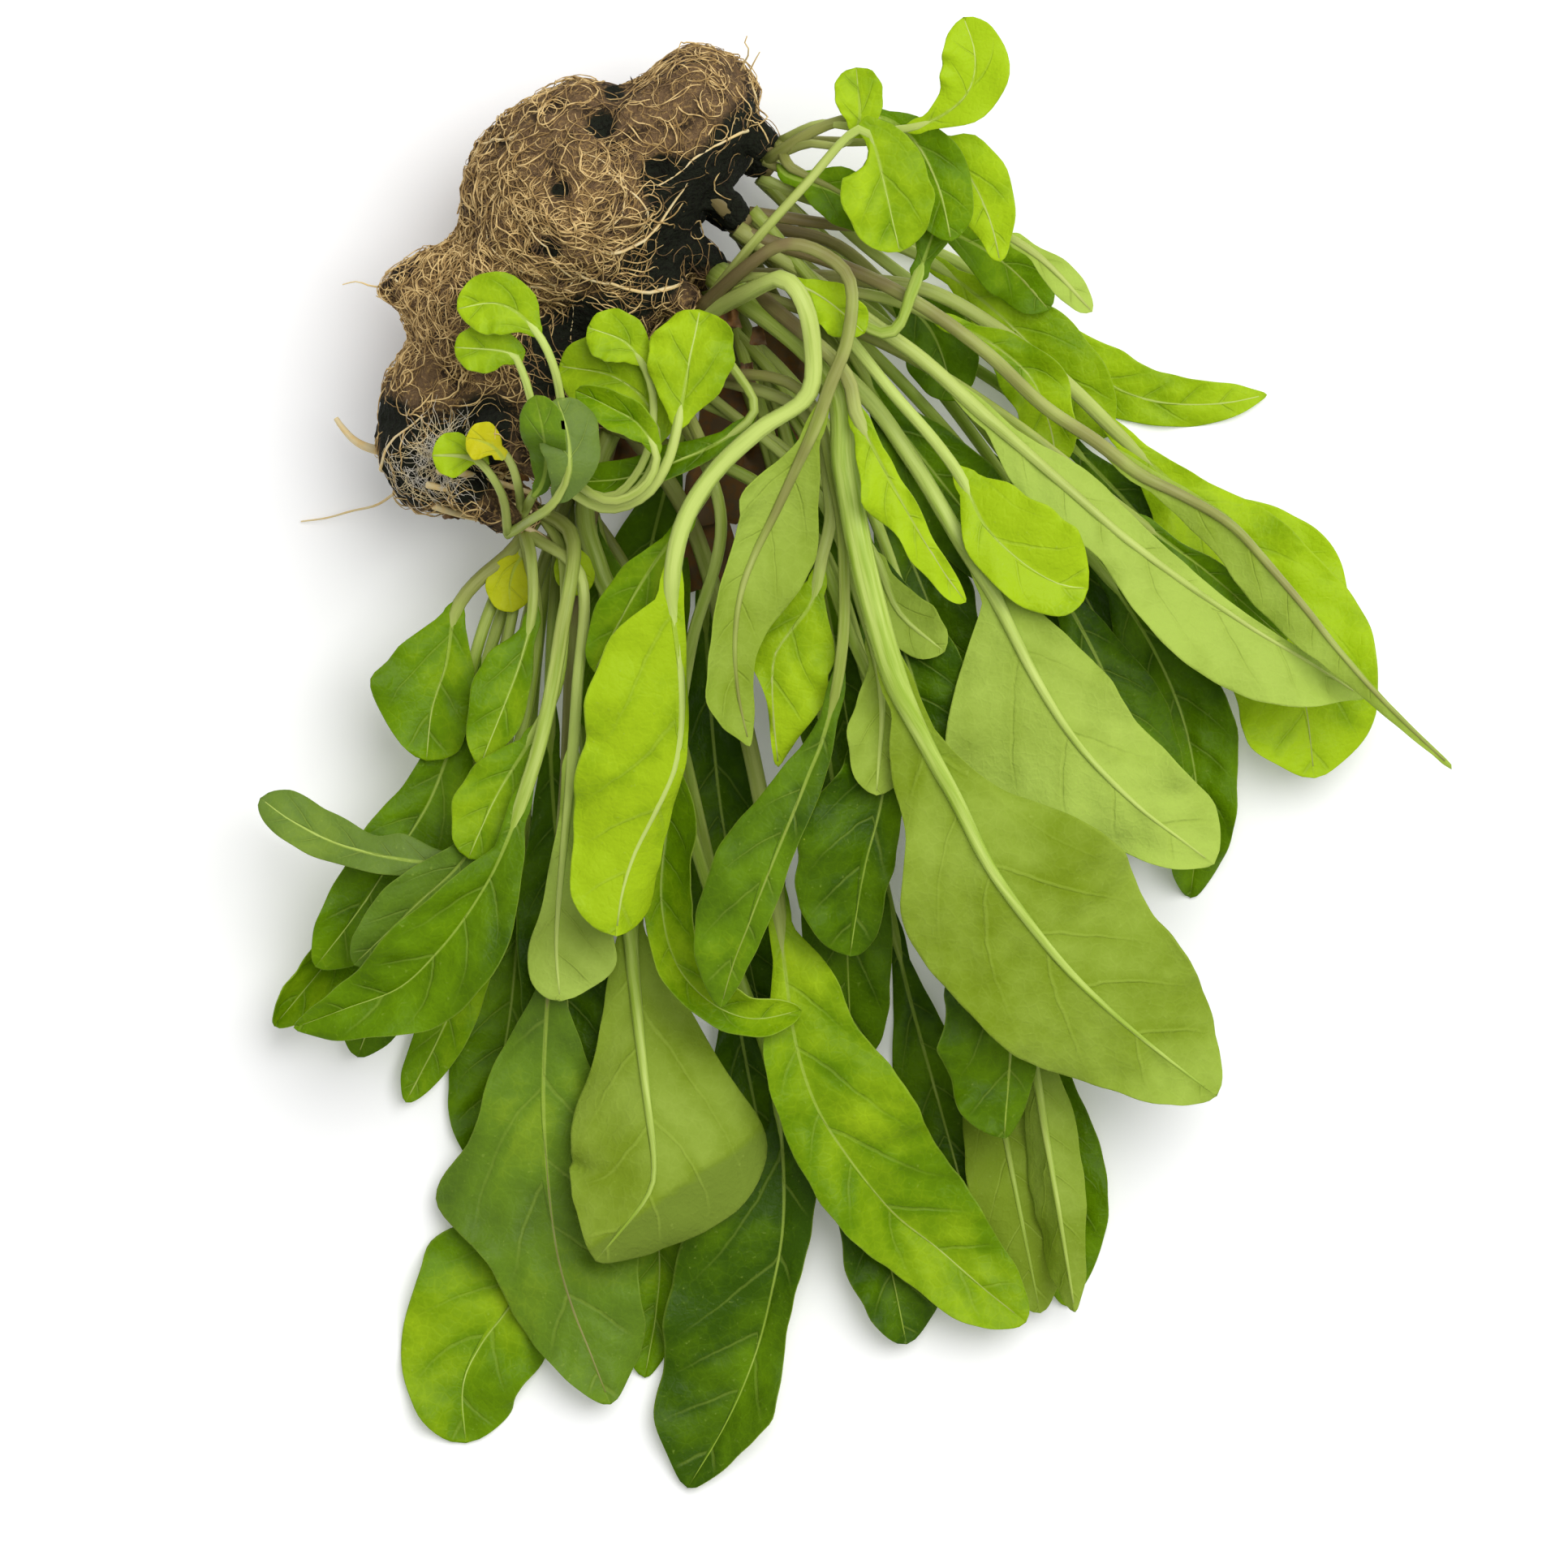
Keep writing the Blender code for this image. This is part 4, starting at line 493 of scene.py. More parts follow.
class ArugulaRootSettings(bpy.types.PropertyGroup):
    """Sizes and colours of the root ball."""

    crumb: length("Crumbs", "Depth of the hollows between crumbs of peat", 1.25)
    fibre: length("Fibre radius", "Radius of a fine root", 0.09)
    straw_count: quantity("Straw roots", "Light fine roots, and as many in the felt", 2050)
    brown_count: quantity("Brown roots", "Dark fine roots", 2050)
    thick_count: quantity("Thick roots", "Thick pale roots", 30)
    hair_count: quantity("Root hairs", "White hairs on the lowest lobe", 260)
    # The dark and near black peat also serve as painted shade under the ball by the crowns
    peat_dark: colour("Dark peat", "Wet peat in the hollows", 0x14100C)
    peat: colour("Peat", "Dry peat crumbs", 0x6F583E)
    dark_peat_and_shade: colour("Wet peat", "Peat that is still wet", 0x1D2016)
    straw: colour("Straw roots", "Light fine roots", 0xE3C588)
    brown: colour("Brown roots", "Dark fine roots", 0xA48552)
    pale: colour("Pale roots", "Thick pale roots", 0xE2CFA0)
    white: colour("Root hairs", "White root hairs", 0xDDD6C8)
    dry: colour("Dried leaf", "Scraps of dried leaf at the crowns", 0x80592F)


class ArugulaStageSettings(bpy.types.PropertyGroup):
    """Table, lights and camera."""

    camera_height: FloatProperty(name="Camera height", description="Height over the table", default=3.0,
                                 unit="LENGTH")
    view_width: length("View width", "Width of the table that the picture shows", 276.0)
    table: colour("Table", "Pale painted table", 0xF4F4F4)
    key_power: FloatProperty(name="Key light", description="Power of the soft light, upper right",
                             default=22.0, unit="POWER")
    sky_strength: FloatProperty(name="Fill", description="Strength of the even light all round",
                                default=0.52)


def between(before, start, stop, after, t):
    """A smooth curve past four points: its place at share t of the way from start to stop."""
    return 0.5 * (2 * start + (stop - before) * t + (2 * before - 5 * start + 4 * stop - after) * t ** 2
                  + (3 * start - before - 3 * stop + after) * t ** 3)


def resampled(points, spacing):
    """A smooth curve through the points, at about even spacing, with its distance along the plan."""
    points = np.array(points, float)
    ends = np.vstack((2 * points[0] - points[1], points, 2 * points[-1] - points[-2]))
    t = np.linspace(0, 1, 12, endpoint=False)[:, None]
    fine = [between(*ends[i:i + 4], t) for i in range(len(ends) - 3)]
    fine = np.vstack(fine + [points[-1:]])
    along = np.concatenate(([0], np.cumsum(np.linalg.norm(np.diff(fine[:, :2], axis=0), axis=1))))
    count = max(4, round(along[-1] / spacing))
    wanted = np.linspace(0, along[-1], count + 1)
    return np.column_stack([np.interp(wanted, along, fine[:, k]) for k in range(3)]), wanted


def half_width(leaf, side, b):
    """A blade half's width at share b of its length: a smooth line through its widths, with a few
    shallow cuts and a rounded tip."""
    widths = leaf.halves[side]
    padded = np.concatenate((widths[:1], widths, widths[-1:]))
    at = np.clip(b, 0, 1) * (len(widths) - 1)
    k = np.minimum(np.floor(at), len(widths) - 2).astype(int)
    line = between(*(padded[k + n] for n in range(4)), at - k)
    tip = np.sqrt(1 - np.clip((b - 0.9) / 0.1, 0, 1) ** 2)
    cut = 1 + EDGE_CUT * leaf.wave * np.sin(2 * np.pi * EDGE_WAVES * b + 2 * side + leaf.blade)
    return line * tip * cut


def route_of(leaf, crown):
    """A leaf's whole way in the plan, from its crown to its tip."""
    start = (crown[0], crown[1], 0.0)
    route = [start] + [(p[0], p[1], p[2] if len(p) > 2 else 0.0) for p in leaf.route]
    return resampled(route, ROUTE_SPACING)


def is_small(leaf):
    return sum(leaf.width) < SMALL_LEAF


def crowded(count):
    """Shares of a blade from 0 to 1, closer together towards its tip."""
    return 1 - (1 - np.linspace(0, 1, count + 1)) ** TIP_CROWDING


def stations_of(leaf, crown):
    """Station points in the plan, their distance along it, and the share of the blade at each."""
    fine, along = route_of(leaf, crown)
    stem = along[-1] - leaf.blade
    step = SMALL_STATION if is_small(leaf) else BLADE_STATION
    on_stem = np.linspace(0, stem, max(LEAST_ON_PETIOLE, round(stem / PETIOLE_STATION)) + 1)[:-1]
    shares = crowded(max(LEAST_ON_BLADE, round(leaf.blade / step)))
    shares[-1] = LAST_SECTION
    wanted = np.concatenate((on_stem, stem + leaf.blade * shares))
    points = np.column_stack([np.interp(wanted, along, fine[:, k]) for k in range(3)])
    return points, wanted, np.concatenate((np.full(len(on_stem), -1.0), shares))


def half_section(width, angle, curl, u):
    """Where the point at share u of a blade's half lies, out and up from the midrib, and its slope."""
    start, more = np.radians(angle), np.radians(curl)
    more = np.where(np.abs(more) < 1e-3, 1e-3, more)
    slope = start + more * u
    out = width * (np.sin(slope) - np.sin(start)) / more
    up = width * (np.cos(start) - np.cos(slope)) / more
    return out, up, slope


def rib_of(leaf, share):
    """Height of the midrib at a share of the blade."""
    return (leaf.stalk * RIB_AT_BLADE * (1 - share) + RIB_AT_TIP * share) * (1 - share) ** 0.3


def least_width(leaf, share):
    """A blade's half is never narrower than this, so that the stalk runs into it without a step."""
    return 0.9 * leaf.stalk * (1 - share) ** 2 + 0.7


def sway_of(leaf, share):
    """How far a blade's edges tilt up on one side and down on the other."""
    return leaf.wave * 0.045 * sum(leaf.width) * np.sin(2 * np.pi * EDGE_WAVES * share + 2)


def ring(leaf, share):
    """The top and the bottom of a leaf's section, each from left to right, as pairs (side, up).
    share is below 0 on the stalk, where the section is round, and then the blade's share."""
    steps = (-1, 0, 1) if is_small(leaf) else (-1, -0.55, 0, 0.55, 1)
    if share < 0:
        turn = math.pi / (2 * len(steps))
        angles = [math.pi - turn * (2 * k + 1) for k in range(len(steps))]
        top = [(leaf.stalk * math.cos(a), leaf.stalk * math.sin(a)) for a in angles]
        return top, [(x, -y) for x, y in top]
    rib = rib_of(leaf, share)
    thick = SOLID_THICKNESS / 2
    opening = min(1.0, share * OPENING_RATE)
    top, bottom = [], []
    for step in steps:
        side, sign = (0, -1) if step < 0 else (1, 1)
        width = max(half_width(leaf, side, share), least_width(leaf, share))
        out, up, slope = half_section(width, leaf.sides[side] * opening, leaf.curl[side] * opening,
                                      abs(step))
        up += sway_of(leaf, share) * sign * step * step * opening
        if step == 0:
            slope = 0.0
        away = (-sign * math.sin(slope), math.cos(slope))
        below = thick + (rib if step == 0 else 0)
        above = thick if leaf.face == "upper" or step else thick + RIB_ABOVE * rib
        if leaf.face == "under" and step == 0:
            below = thick + RIB_BELOW * rib
        top.append((sign * out + away[0] * above, up + away[1] * above))
        bottom.append((sign * out - away[0] * below, up - away[1] * below))
    return top, bottom


def frames_of(centres):
    """For each station, the sideways and the upward direction of its section."""
    ahead = np.gradient(centres, axis=0)
    ahead /= np.linalg.norm(ahead, axis=1)[:, None]
    level = np.column_stack((-ahead[:, 1], ahead[:, 0], np.zeros(len(ahead))))
    level /= np.maximum(np.linalg.norm(level, axis=1)[:, None], 1e-6)
    up = np.cross(level, ahead)
    up *= np.where(up[:, 2] < 0, -1, 1)[:, None]
    return -level, up


def rings_of(leaf, centres, shares):
    """The leaf's solid as an array: station, top or bottom, left to right, then x, y and z."""
    side, up = frames_of(centres)
    rows = []
    for i, share in enumerate(shares):
        flat = np.array(ring(leaf, share))
        rows.append(centres[i] + flat[..., :1] * side[i] + flat[..., 1:] * up[i])
    return np.array(rows)


def samples_of(rings, fineness):
    """Points all over the solid's surface, and the station that each lies behind."""
    before, after = rings[:-1], rings[1:]
    points, owners = [], []
    for t in np.arange(0, 1.001, fineness):
        row = before * (1 - t) + after * t
        for s in np.arange(0, 1.001, fineness):
            spot = row[:, :, :-1] * (1 - s) + row[:, :, 1:] * s
            points.append(spot.reshape(-1, 3))
            owners.append(np.repeat(np.arange(len(before)), spot.shape[1] * spot.shape[2]))
    return np.vstack(points), np.concatenate(owners)


def cells_of(points):
    """The cell of the pile that each point lies over."""
    cell = np.floor((points[:, :2] - PILE_LOW) / CELL).astype(int)
    return np.clip(cell[:, 0], 1, PILE_SIZE[0] - 2), np.clip(cell[:, 1], 1, PILE_SIZE[1] - 2)


def empty_pile():
    return np.full(PILE_SIZE, -GAP)


def highest(piles, left_out):
    """The highest of the piles in every cell, without those that are left out."""
    others = [pile for name, pile in piles.items() if name not in left_out]
    return np.maximum.reduce([empty_pile()] + others)


def stamp(pile, points):
    """Raises the pile to these points, and to the same height in the cells beside them."""
    columns, rows = cells_of(points)
    for dx in (-1, 0, 1):
        for dy in (-1, 0, 1):
            np.maximum.at(pile, (columns + dx, rows + dy), points[:, 2])


def soil_height():
    """The root ball's upper surface over the plan, from its lumps."""
    x, y = np.meshgrid(*(PILE_LOW[k] + CELL * (np.arange(PILE_SIZE[k]) + 0.5) for k in (0, 1)),
                       indexing="ij")
    height = empty_pile()
    for cx, cy, cz, rx, ry, rz, turn in SOIL_LUMPS:
        c, s = math.cos(math.radians(turn)), math.sin(math.radians(turn))
        u = ((x - cx) * c + (y - cy) * s) / (rx + LUMP_HEIGHT)
        v = (-(x - cx) * s + (y - cy) * c) / (ry + LUMP_HEIGHT)
        inside = 1 - u * u - v * v
        top = cz + (rz + LUMP_HEIGHT) * np.sqrt(np.maximum(inside, 0))
        height = np.where(inside > 0, np.maximum(height, top), height)
    return height


def rested(along, needed, radius):
    """The lowest line over the needed heights that bends no tighter than the radius."""
    drop = (along[:, None] - along[None, :]) ** 2 / (2 * radius)
    return (needed[None, :] - drop).max(axis=1)


def lay(leaf, crown, piles, own):
    """Lays a leaf on the pile, and stamps it on its plant's own heights. Returns its midline's
    distances along the plan, heights, and sideways and upward directions."""
    points, along, shares = stations_of(leaf, crown)
    others = highest(piles, (own, "soil"))
    with_soil = np.maximum(others, piles["soil"])
    held = points[:, 2]
    free = min(FREE_OF_SOIL, FREE_SHARE * along[-1])
    height = rested(along, np.maximum(held, LEAST_HEIGHT), BEND_RADIUS)
    height[0] = crown[2]
    for _ in range(LAYING_ROUNDS):
        centres = np.column_stack((points[:, :2], height))
        rings = rings_of(leaf, centres, shares)
        spots, owner = samples_of(rings, LAYING_STEP)
        columns, rows = cells_of(spots)
        distance = along[owner]
        beneath = np.where(distance > free, with_soil[columns, rows], others[columns, rows])
        with_own = np.maximum(beneath, piles[own][columns, rows])
        beneath = np.where(distance > FREE_OF_OWN, with_own, beneath)
        short = beneath + GAP - spots[:, 2]
        lack = np.full(len(points), FAR_BELOW)
        np.maximum.at(lack, owner, short)
        np.maximum.at(lack, owner + 1, short)
        if lack[1:].max() < MOST_DEFICIT:
            break
        target = np.maximum(height + lack, held)
        target[0] = crown[2]
        lifted = rested(along, target, BEND_RADIUS)
        height = np.maximum(np.minimum(lifted, crown[2] + STEEPEST_CLIMB * along), target)
        height[0] = crown[2]
    stamp(piles[own], samples_of(rings, STAMPING_STEP)[0])
    side, up = frames_of(centres)
    return SimpleNamespace(along=along, height=centres[:, 2], side=side, up=up)


def crown_axis(crown):
    """From the root's tip in the soil to just past the crown."""
    out = FACE_OUT.normalized()
    return Vector(crown) - out * ROOT_DEPTH, Vector(crown) + out * CROWN_RADIUS


def crown_rings(crown, sides=8):
    """The crown's own solid: a tapering root that swells where the leaves grow."""
    inner, outer = crown_axis(crown)
    ahead = (outer - inner).normalized()
    across = ahead.cross(Vector((0, 0, 1))).normalized()
    above = across.cross(ahead)
    rows = []
    for share, size in SOLID_PROFILE:
        centre = inner.lerp(outer, share)
        rows.append([centre + CROWN_RADIUS * size * (across * math.cos(a) + above * math.sin(a))
                     for a in (2 * math.pi * k / sides for k in range(sides))])
    return rows


@cache
def laid_out():
    """Every plant with its crown and the midline that its place in the pile gives each of its leaves."""
    piles = {"soil": soil_height()}
    found = []
    for spec in PLANTS + SEEDLINGS:
        x, y, least = spec.crown
        around = np.array([p for row in crown_rings((x, y, float(least))) for p in row])
        columns, rows = cells_of(around)
        lift = (highest(piles, ("soil",))[columns, rows] + GAP - around[:, 2]).max()
        crown = (x, y, float(least + max(lift, 0)))
        piles[spec.name] = empty_pile()
        body = np.array(crown_rings(crown, sides=16))
        stamp(piles[spec.name], np.vstack([body[:-1] * (1 - t) + body[1:] * t
                                           for t in np.arange(0, 1.01, 0.1)]).reshape(-1, 3))
        found.append((spec, crown, [lay(one, crown, piles, spec.name) for one in spec.leaves]))
    return found


def smooth(along, values, wanted):
    """A curve through the values at their distances along a line, with no kink at any of them."""
    values = np.asarray(values, float)
    slopes = np.gradient(values, along, axis=0)
    k = np.clip(np.searchsorted(along, wanted, side="right") - 1, 0, len(along) - 2)
    span = along[k + 1] - along[k]
    t = np.clip((wanted - along[k]) / span, 0, RUN_ON)
    if values.ndim > 1:
        t, span = t[:, None], span[:, None]
    return ((2 * t ** 3 - 3 * t ** 2 + 1) * values[k] + (t ** 3 - 2 * t ** 2 + t) * span * slopes[k]
            + (3 * t ** 2 - 2 * t ** 3) * values[k + 1] + (t ** 3 - t ** 2) * span * slopes[k + 1])


def unit(vectors):
    """The same directions, each one long."""
    return vectors / np.maximum(np.linalg.norm(vectors, axis=-1, keepdims=True), 1e-9)


def eased(x):
    """A smooth step from 0 to 1."""
    x = np.clip(x, 0, 1)
    return x * x * (3 - 2 * x)


def ripple(x, seed, periods):
    """An uneven wave from -1 to 1 that repeats only after a long way. Periods are in millimetres."""
    parts = [np.sin(2 * np.pi * x / period + 1.7 * seed + 2.3 * k) for k, period in enumerate(periods)]
    return sum(parts) / len(parts)


def midline(leaf, crown, laid, wanted):
    """Points, sideways and upward directions along a leaf's midline, at distances along the plan."""
    fine, run = route_of(leaf, crown)
    plan = np.column_stack([np.interp(wanted, run, fine[:, k]) for k in (0, 1)])
    height = smooth(laid.along, laid.height, wanted)
    side = unit(smooth(laid.along, laid.side, wanted))
    up = unit(smooth(laid.along, laid.up, wanted))
    return np.column_stack((plan, height)), side, up


def vein_phase(leaf, along, across, side, seed):
    """A field that passes a whole number at each side vein. Veins leave the midrib and bend to the
    tip."""
    widest = max(leaf.width)
    spacing = VEIN_SPACING + VEIN_SPREAD * widest
    bend = across + VEIN_BEND * across ** 2 / widest
    drift = 0.25 * np.sin(along / spacing * 1.3 + seed + 3 * side)
    return (along - bend) / spacing + VEIN_STAGGER * side + drift


def blade_skin(leaf, crown, laid, seed, settings):
    """The blade as a closed skin: points by row and column round it, and what its finish reads."""
    columns, step = (SMALL_COLUMNS, SMALL_ROW) if is_small(leaf) else (LARGE_COLUMNS, LARGE_ROW)
    columns = np.array(columns)
    rows = max(16, round(leaf.blade / step))
    share = np.concatenate((-BLADE_FOOT * np.linspace(1, 0, 6)[:-1], crowded(rows)))
    whole = route_of(leaf, crown)[1][-1]
    centre, side_way, up_way = midline(leaf, crown, laid, whole - leaf.blade * (1 - share))
    inside = np.clip(share, 0, 1)
    foot = eased((share + BLADE_FOOT) / BLADE_FOOT)
    tip = np.sqrt(np.clip((1 - inside) / TIP_ROUNDING, 0, 1))
    opening = np.clip(share * OPENING_RATE, 0, 1)
    along = leaf.blade * inside
    outward = 1 if leaf.face == "upper" else -1
    halves = []
    for side, sign in ((0, -1), (1, 1)):
        least = least_width(leaf, inside) * tip
        bays = settings.scallop / MM * leaf.wave * ripple(along, seed + 5 * side, BAYS)
        width = half_width(leaf, side, share)
        width = np.maximum(width + bays * np.clip(width / BAYS_FADE_BELOW, 0, 1) * tip, least)
        width = width * foot + 0.45 * leaf.stalk * (1 - foot)
        out, up, slope = half_section(width[:, None], (leaf.sides[side] * opening)[:, None],
                                      (leaf.curl[side] * opening)[:, None], columns[None, :])
        across = width[:, None] * columns[None, :]
        up = up + (sway_of(leaf, inside) * sign * opening)[:, None] * columns ** 2
        reach = np.clip(width / WAVES_FADE_BELOW, 0, 1)[:, None]
        wave = ripple(along[:, None] + 0.4 * across, seed + 9 * side, WAVES)
        up = up + settings.margin_wave / MM * leaf.wave * wave * columns ** 3 * reach
        phase = vein_phase(leaf, along[:, None], across, side, seed)
        bulge = np.abs(np.sin(np.pi * phase)) ** 0.7
        fade = eased(columns / 0.22)[None, :] * (1 - 0.75 * columns[None, :] ** 4) * reach
        relief = settings.relief / MM * fade * (bulge - 0.3)
        dent = (ripple(along[:, None] + 0.6 * across, seed, DENTS_ALONG)
                * ripple(along[:, None] * 0.5 - across, seed + 4 * side, DENTS_ACROSS))
        dent = dent + 0.5 * ripple(along[:, None] - 1.3 * across, seed + 2 * side, DENTS_ASKEW)
        relief = relief + settings.pucker / MM * leaf.wave * reach * eased(columns / 0.3)[None, :] * dent
        normal = (-sign * np.sin(slope)[..., None] * side_way[:, None] + np.cos(slope)[..., None]
                  * up_way[:, None])
        spot = (centre[:, None] + sign * out[..., None] * side_way[:, None] + up[..., None]
                * up_way[:, None] + outward * relief[..., None] * normal)
        thick = settings.thickness / MM * (1 - 0.6 * columns ** 8)[None, :, None]
        half = [spot + normal * thick / 2, spot - normal * thick / 2,
                np.stack((phase, sign * across, inside[:, None] + 0 * across), -1),
                np.broadcast_to(columns[None, :], across.shape)]
        halves.append([part[:, ::-1] for part in half] if side == 0 else half)
    top, bottom, veins, edge = (np.concatenate((left, right[:, 1:]), axis=1)
                                for left, right in zip(*halves))
    return [np.concatenate((over, beneath[:, ::-1], over[:, :1]), axis=1)
            for over, beneath in ((top, bottom), (veins, veins), (edge, edge))]


def stalk_skin(leaf, crown, laid, seed):
    """The stalk and the midrib that it runs into, as one tapering tube, with its distance along."""
    whole = route_of(leaf, crown)[1][-1]
    stem = whole - leaf.blade
    before, beyond = (max(8, round(span / STALK_ROW)) for span in (stem, leaf.blade))
    wanted = np.concatenate((np.linspace(0, stem, before + 1)[:-1],
                             stem + leaf.blade * np.linspace(0, MIDRIB_END, beyond)))
    centre, side_way, up_way = midline(leaf, crown, laid, wanted)
    share = np.clip((wanted - stem) / leaf.blade, 0, 1)
    rib = rib_of(leaf, share)
    slim = 0.5 * rib + 0.28 * (1 - share) ** 0.5 + 0.06
    on_blade = eased((wanted - stem) / (0.16 * leaf.blade) + 0.35)
    thick = 0.93 * leaf.stalk
    radius = thick * (1 + 0.25 * np.exp(-wanted / 6)) * (1 - on_blade) + slim * on_blade
    if leaf.face == "upper":
        offset = -(radius - 0.27) * on_blade
    else:
        offset = (0.15 * rib + 0.1) * on_blade
    turn = 2.4 * seed
    fan = (FAN_ACROSS * math.cos(turn) * np.array((0.62, 0.78, 0))
           + FAN_UP * math.sin(turn) * np.array((0, 0, 1)))
    centre = centre + fan * np.exp(-(wanted / FAN_REACH) ** 2)[:, None]
    angle = np.linspace(0, 2 * np.pi, STALK_SIDES + 1)
    channel = GROOVE_DEPTH * np.exp(-((angle - np.pi / 2) / GROOVE_WIDTH) ** 2) * (leaf.face == "upper")
    grooved = radius[:, None] * (1 - channel * (1 - on_blade)[:, None])
    across = grooved * np.cos(angle)
    above = grooved * np.sin(angle) * 0.93 + offset[:, None]
    points = (centre[:, None] + across[..., None] * side_way[:, None]
              + above[..., None] * up_way[:, None])
    veins = np.stack((0 * across, radius[:, None] * angle, wanted[:, None] + 0 * across), -1)
    return points, veins, np.broadcast_to((wanted / whole)[:, None], across.shape)


def mesh_of(shape, name):
    """A new mesh with this shape, which goes."""
    mesh = bpy.data.meshes.new(name)
    shape.to_mesh(mesh)
    shape.free()
    return mesh


def linked(name, data):
    """A new object in the scene with this data."""
    made = bpy.data.objects.new(name, data)
    bpy.context.scene.collection.objects.link(made)
    return made


def closed_skin(points, veins, tints, materials):
    """A mesh of a grid wrapped round on itself, its ends closed. Points are in millimetres, by row and
    column, and materials holds the material of each column of faces."""
    shape = bmesh.new()
    vein_layer = shape.verts.layers.float_vector.new("vein")
    tint_layer = shape.verts.layers.float_vector.new("tint")
    rows, columns = points.shape[:2]
    bmesh.ops.create_grid(shape, x_segments=columns - 1, y_segments=rows - 1, size=1.0)
    spots = (points * MM).reshape(-1, 3).tolist()
    for vert, spot, vein, tint in zip(shape.verts, spots, veins.reshape(-1, 3).tolist(),
                                      tints.reshape(-1, 3).tolist()):
        vert.co = spot
        vert[vein_layer] = vein
        vert[tint_layer] = tint
    for number, face in enumerate(shape.faces):
        face.material_index = materials[number % (columns - 1)]
        face.smooth = True
    shape.verts.ensure_lookup_table()
    seam = [shape.verts[row * columns + k] for row in range(rows) for k in (0, columns - 1)]
    bmesh.ops.remove_doubles(shape, verts=seam, dist=1e-7)
    ends = [edge for edge in shape.edges if edge.is_boundary]
    bmesh.ops.holes_fill(shape, edges=ends, sides=0)
    bmesh.ops.recalc_face_normals(shape, faces=shape.faces)
    return mesh_of(shape, "skin")


# The places of a plant's three finishes in its mesh
UPPER, UNDER, STALK = 0, 1, 2

# Sharp creases across blades: two points of the crease in the plan, its height, and how far it runs out
# towards the tip and towards the stalk, in millimetres. Beyond it the blade is painted darker for shade.
CREASES = {("plant_middle_under", "e"): ((5.0, -171.0), (35.0, -150.5), 4.0, 11.0, 30.0)}
CREASE_PAINTED_SHADE = 0.35


def creased(points, crease):
    """Raises a blade along its crease, and gives for each point how far it lies beyond, from 0 to 1."""
    (x, y), (to_x, to_y), height, to_tip, to_stalk = crease
    run_x, run_y = to_x - x, to_y - y
    beyond = ((points[..., 0] - x) * run_y - (points[..., 1] - y) * run_x) / math.hypot(run_x, run_y)
    rise = np.where(beyond > 0, 1 - beyond / to_tip, np.maximum(1 + beyond / to_stalk, 0))
    points = points.copy()
    points[..., 2] += height * np.maximum(rise, -0.1)
    return points, np.clip(beyond / 0.8, 0, 1)


def leaf_meshes(one, crown, laid, look, crease, seed, settings):
    """A leaf's blade and its stalk as two closed skins."""
    # A leaf's brightness carries painted light and shade as well as its own colour
    tone_and_painted_light, bloom, blush = look
    points, veins, edge = blade_skin(one, crown, laid, seed, settings)
    painted_crease_shade = 0 * edge
    if crease:
        points, painted_crease_shade = creased(points, crease)
    # Painted shade beyond the crease: the blade is darker and greyer there
    tints = np.stack((tone_and_painted_light - CREASE_PAINTED_SHADE * painted_crease_shade, bloom - 0.3 * painted_crease_shade, edge), -1)
    top, bottom = (UPPER, UNDER) if one.face == "upper" else (UNDER, UPPER)
    half = (points.shape[1] - 3) // 2
    blade = closed_skin(points, veins, tints, [top] * (half + 1) + [bottom] * (half + 1))
    points, veins, share = stalk_skin(one, crown, laid, seed)
    if crease:
        points, _ = creased(points, crease)
    tints = np.stack((tone_and_painted_light + 0 * share, blush + 0 * share, share), -1)
    stalk = closed_skin(points, veins, tints, [STALK] * (points.shape[1] - 1))
    return blade, stalk


def crown_mesh(crown):
    """The knotty crown: the part of the root that fills its hole, and a small stub outside."""
    inner, outer = crown_axis(crown)
    ahead = np.array((outer - inner).normalized())
    across = unit(np.cross(ahead, (0, 0, 1)))
    above = np.cross(across, ahead)
    angle = np.linspace(0, 2 * np.pi, CROWN_SIDES + 1)
    rows = []
    for share, size in CROWN_PROFILE:
        knots = 1 + 0.12 * np.sin(5 * angle + 9 * share) + 0.07 * np.sin(3 * angle - 14 * share)
        flat = across * np.cos(angle)[:, None] + above * np.sin(angle)[:, None]
        rows.append(np.array(inner.lerp(outer, share)) + CROWN_RADIUS * size * knots[:, None] * flat)
    rows = np.array(rows)
    tints = np.zeros(rows.shape) + (0.3, 1.0, 0.0)
    return closed_skin(rows, np.zeros(rows.shape), tints, [STALK] * (rows.shape[1] - 1))


def piece(name, mesh, materials, slot, *nodes):
    """Puts a finished mesh into the scene as a piece of the object that stands for these solids."""
    spots = np.empty(3 * len(mesh.vertices))
    mesh.vertices.foreach_get("co", spots)
    low, high = np.array(CAD_BOX)
    spots = np.clip(spots.reshape(-1, 3), low + INSET, high - INSET)
    mesh.vertices.foreach_set("co", spots.ravel())
    made = linked(name, mesh)
    for one in materials:
        mesh.materials.append(one)
    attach(made, "root")
    if nodes:
        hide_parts(*nodes)


def joined_mesh(name, meshes):
    """All of these in one new mesh. They go."""
    shape = bmesh.new()
    for mesh in meshes:
        shape.from_mesh(mesh)
        bpy.data.meshes.remove(mesh)
    return mesh_of(shape, name)


def add(tree, kind, options=None, inputs=None):
    """Adds a node, sets its options, and gives its inputs a value, or another node's output."""
    node = tree.nodes.new("ShaderNode" + kind)
    for name, value in (options or {}).items():
        setattr(node, name, value)
    for name, value in (inputs or {}).items():
        usable = [s for s in node.inputs if s.enabled]
        socket = usable[name] if isinstance(name, int) else next(s for s in usable if s.name == name)
        if isinstance(value, bpy.types.Node):
            value = next(s for s in value.outputs if s.enabled)
        if isinstance(value, bpy.types.NodeSocket):
            tree.links.new(value, socket)
        else:
            socket.default_value = value
    return node


def math_node(tree, operation, *values):
    return add(tree, "Math", {"operation": operation}, dict(enumerate(values)))


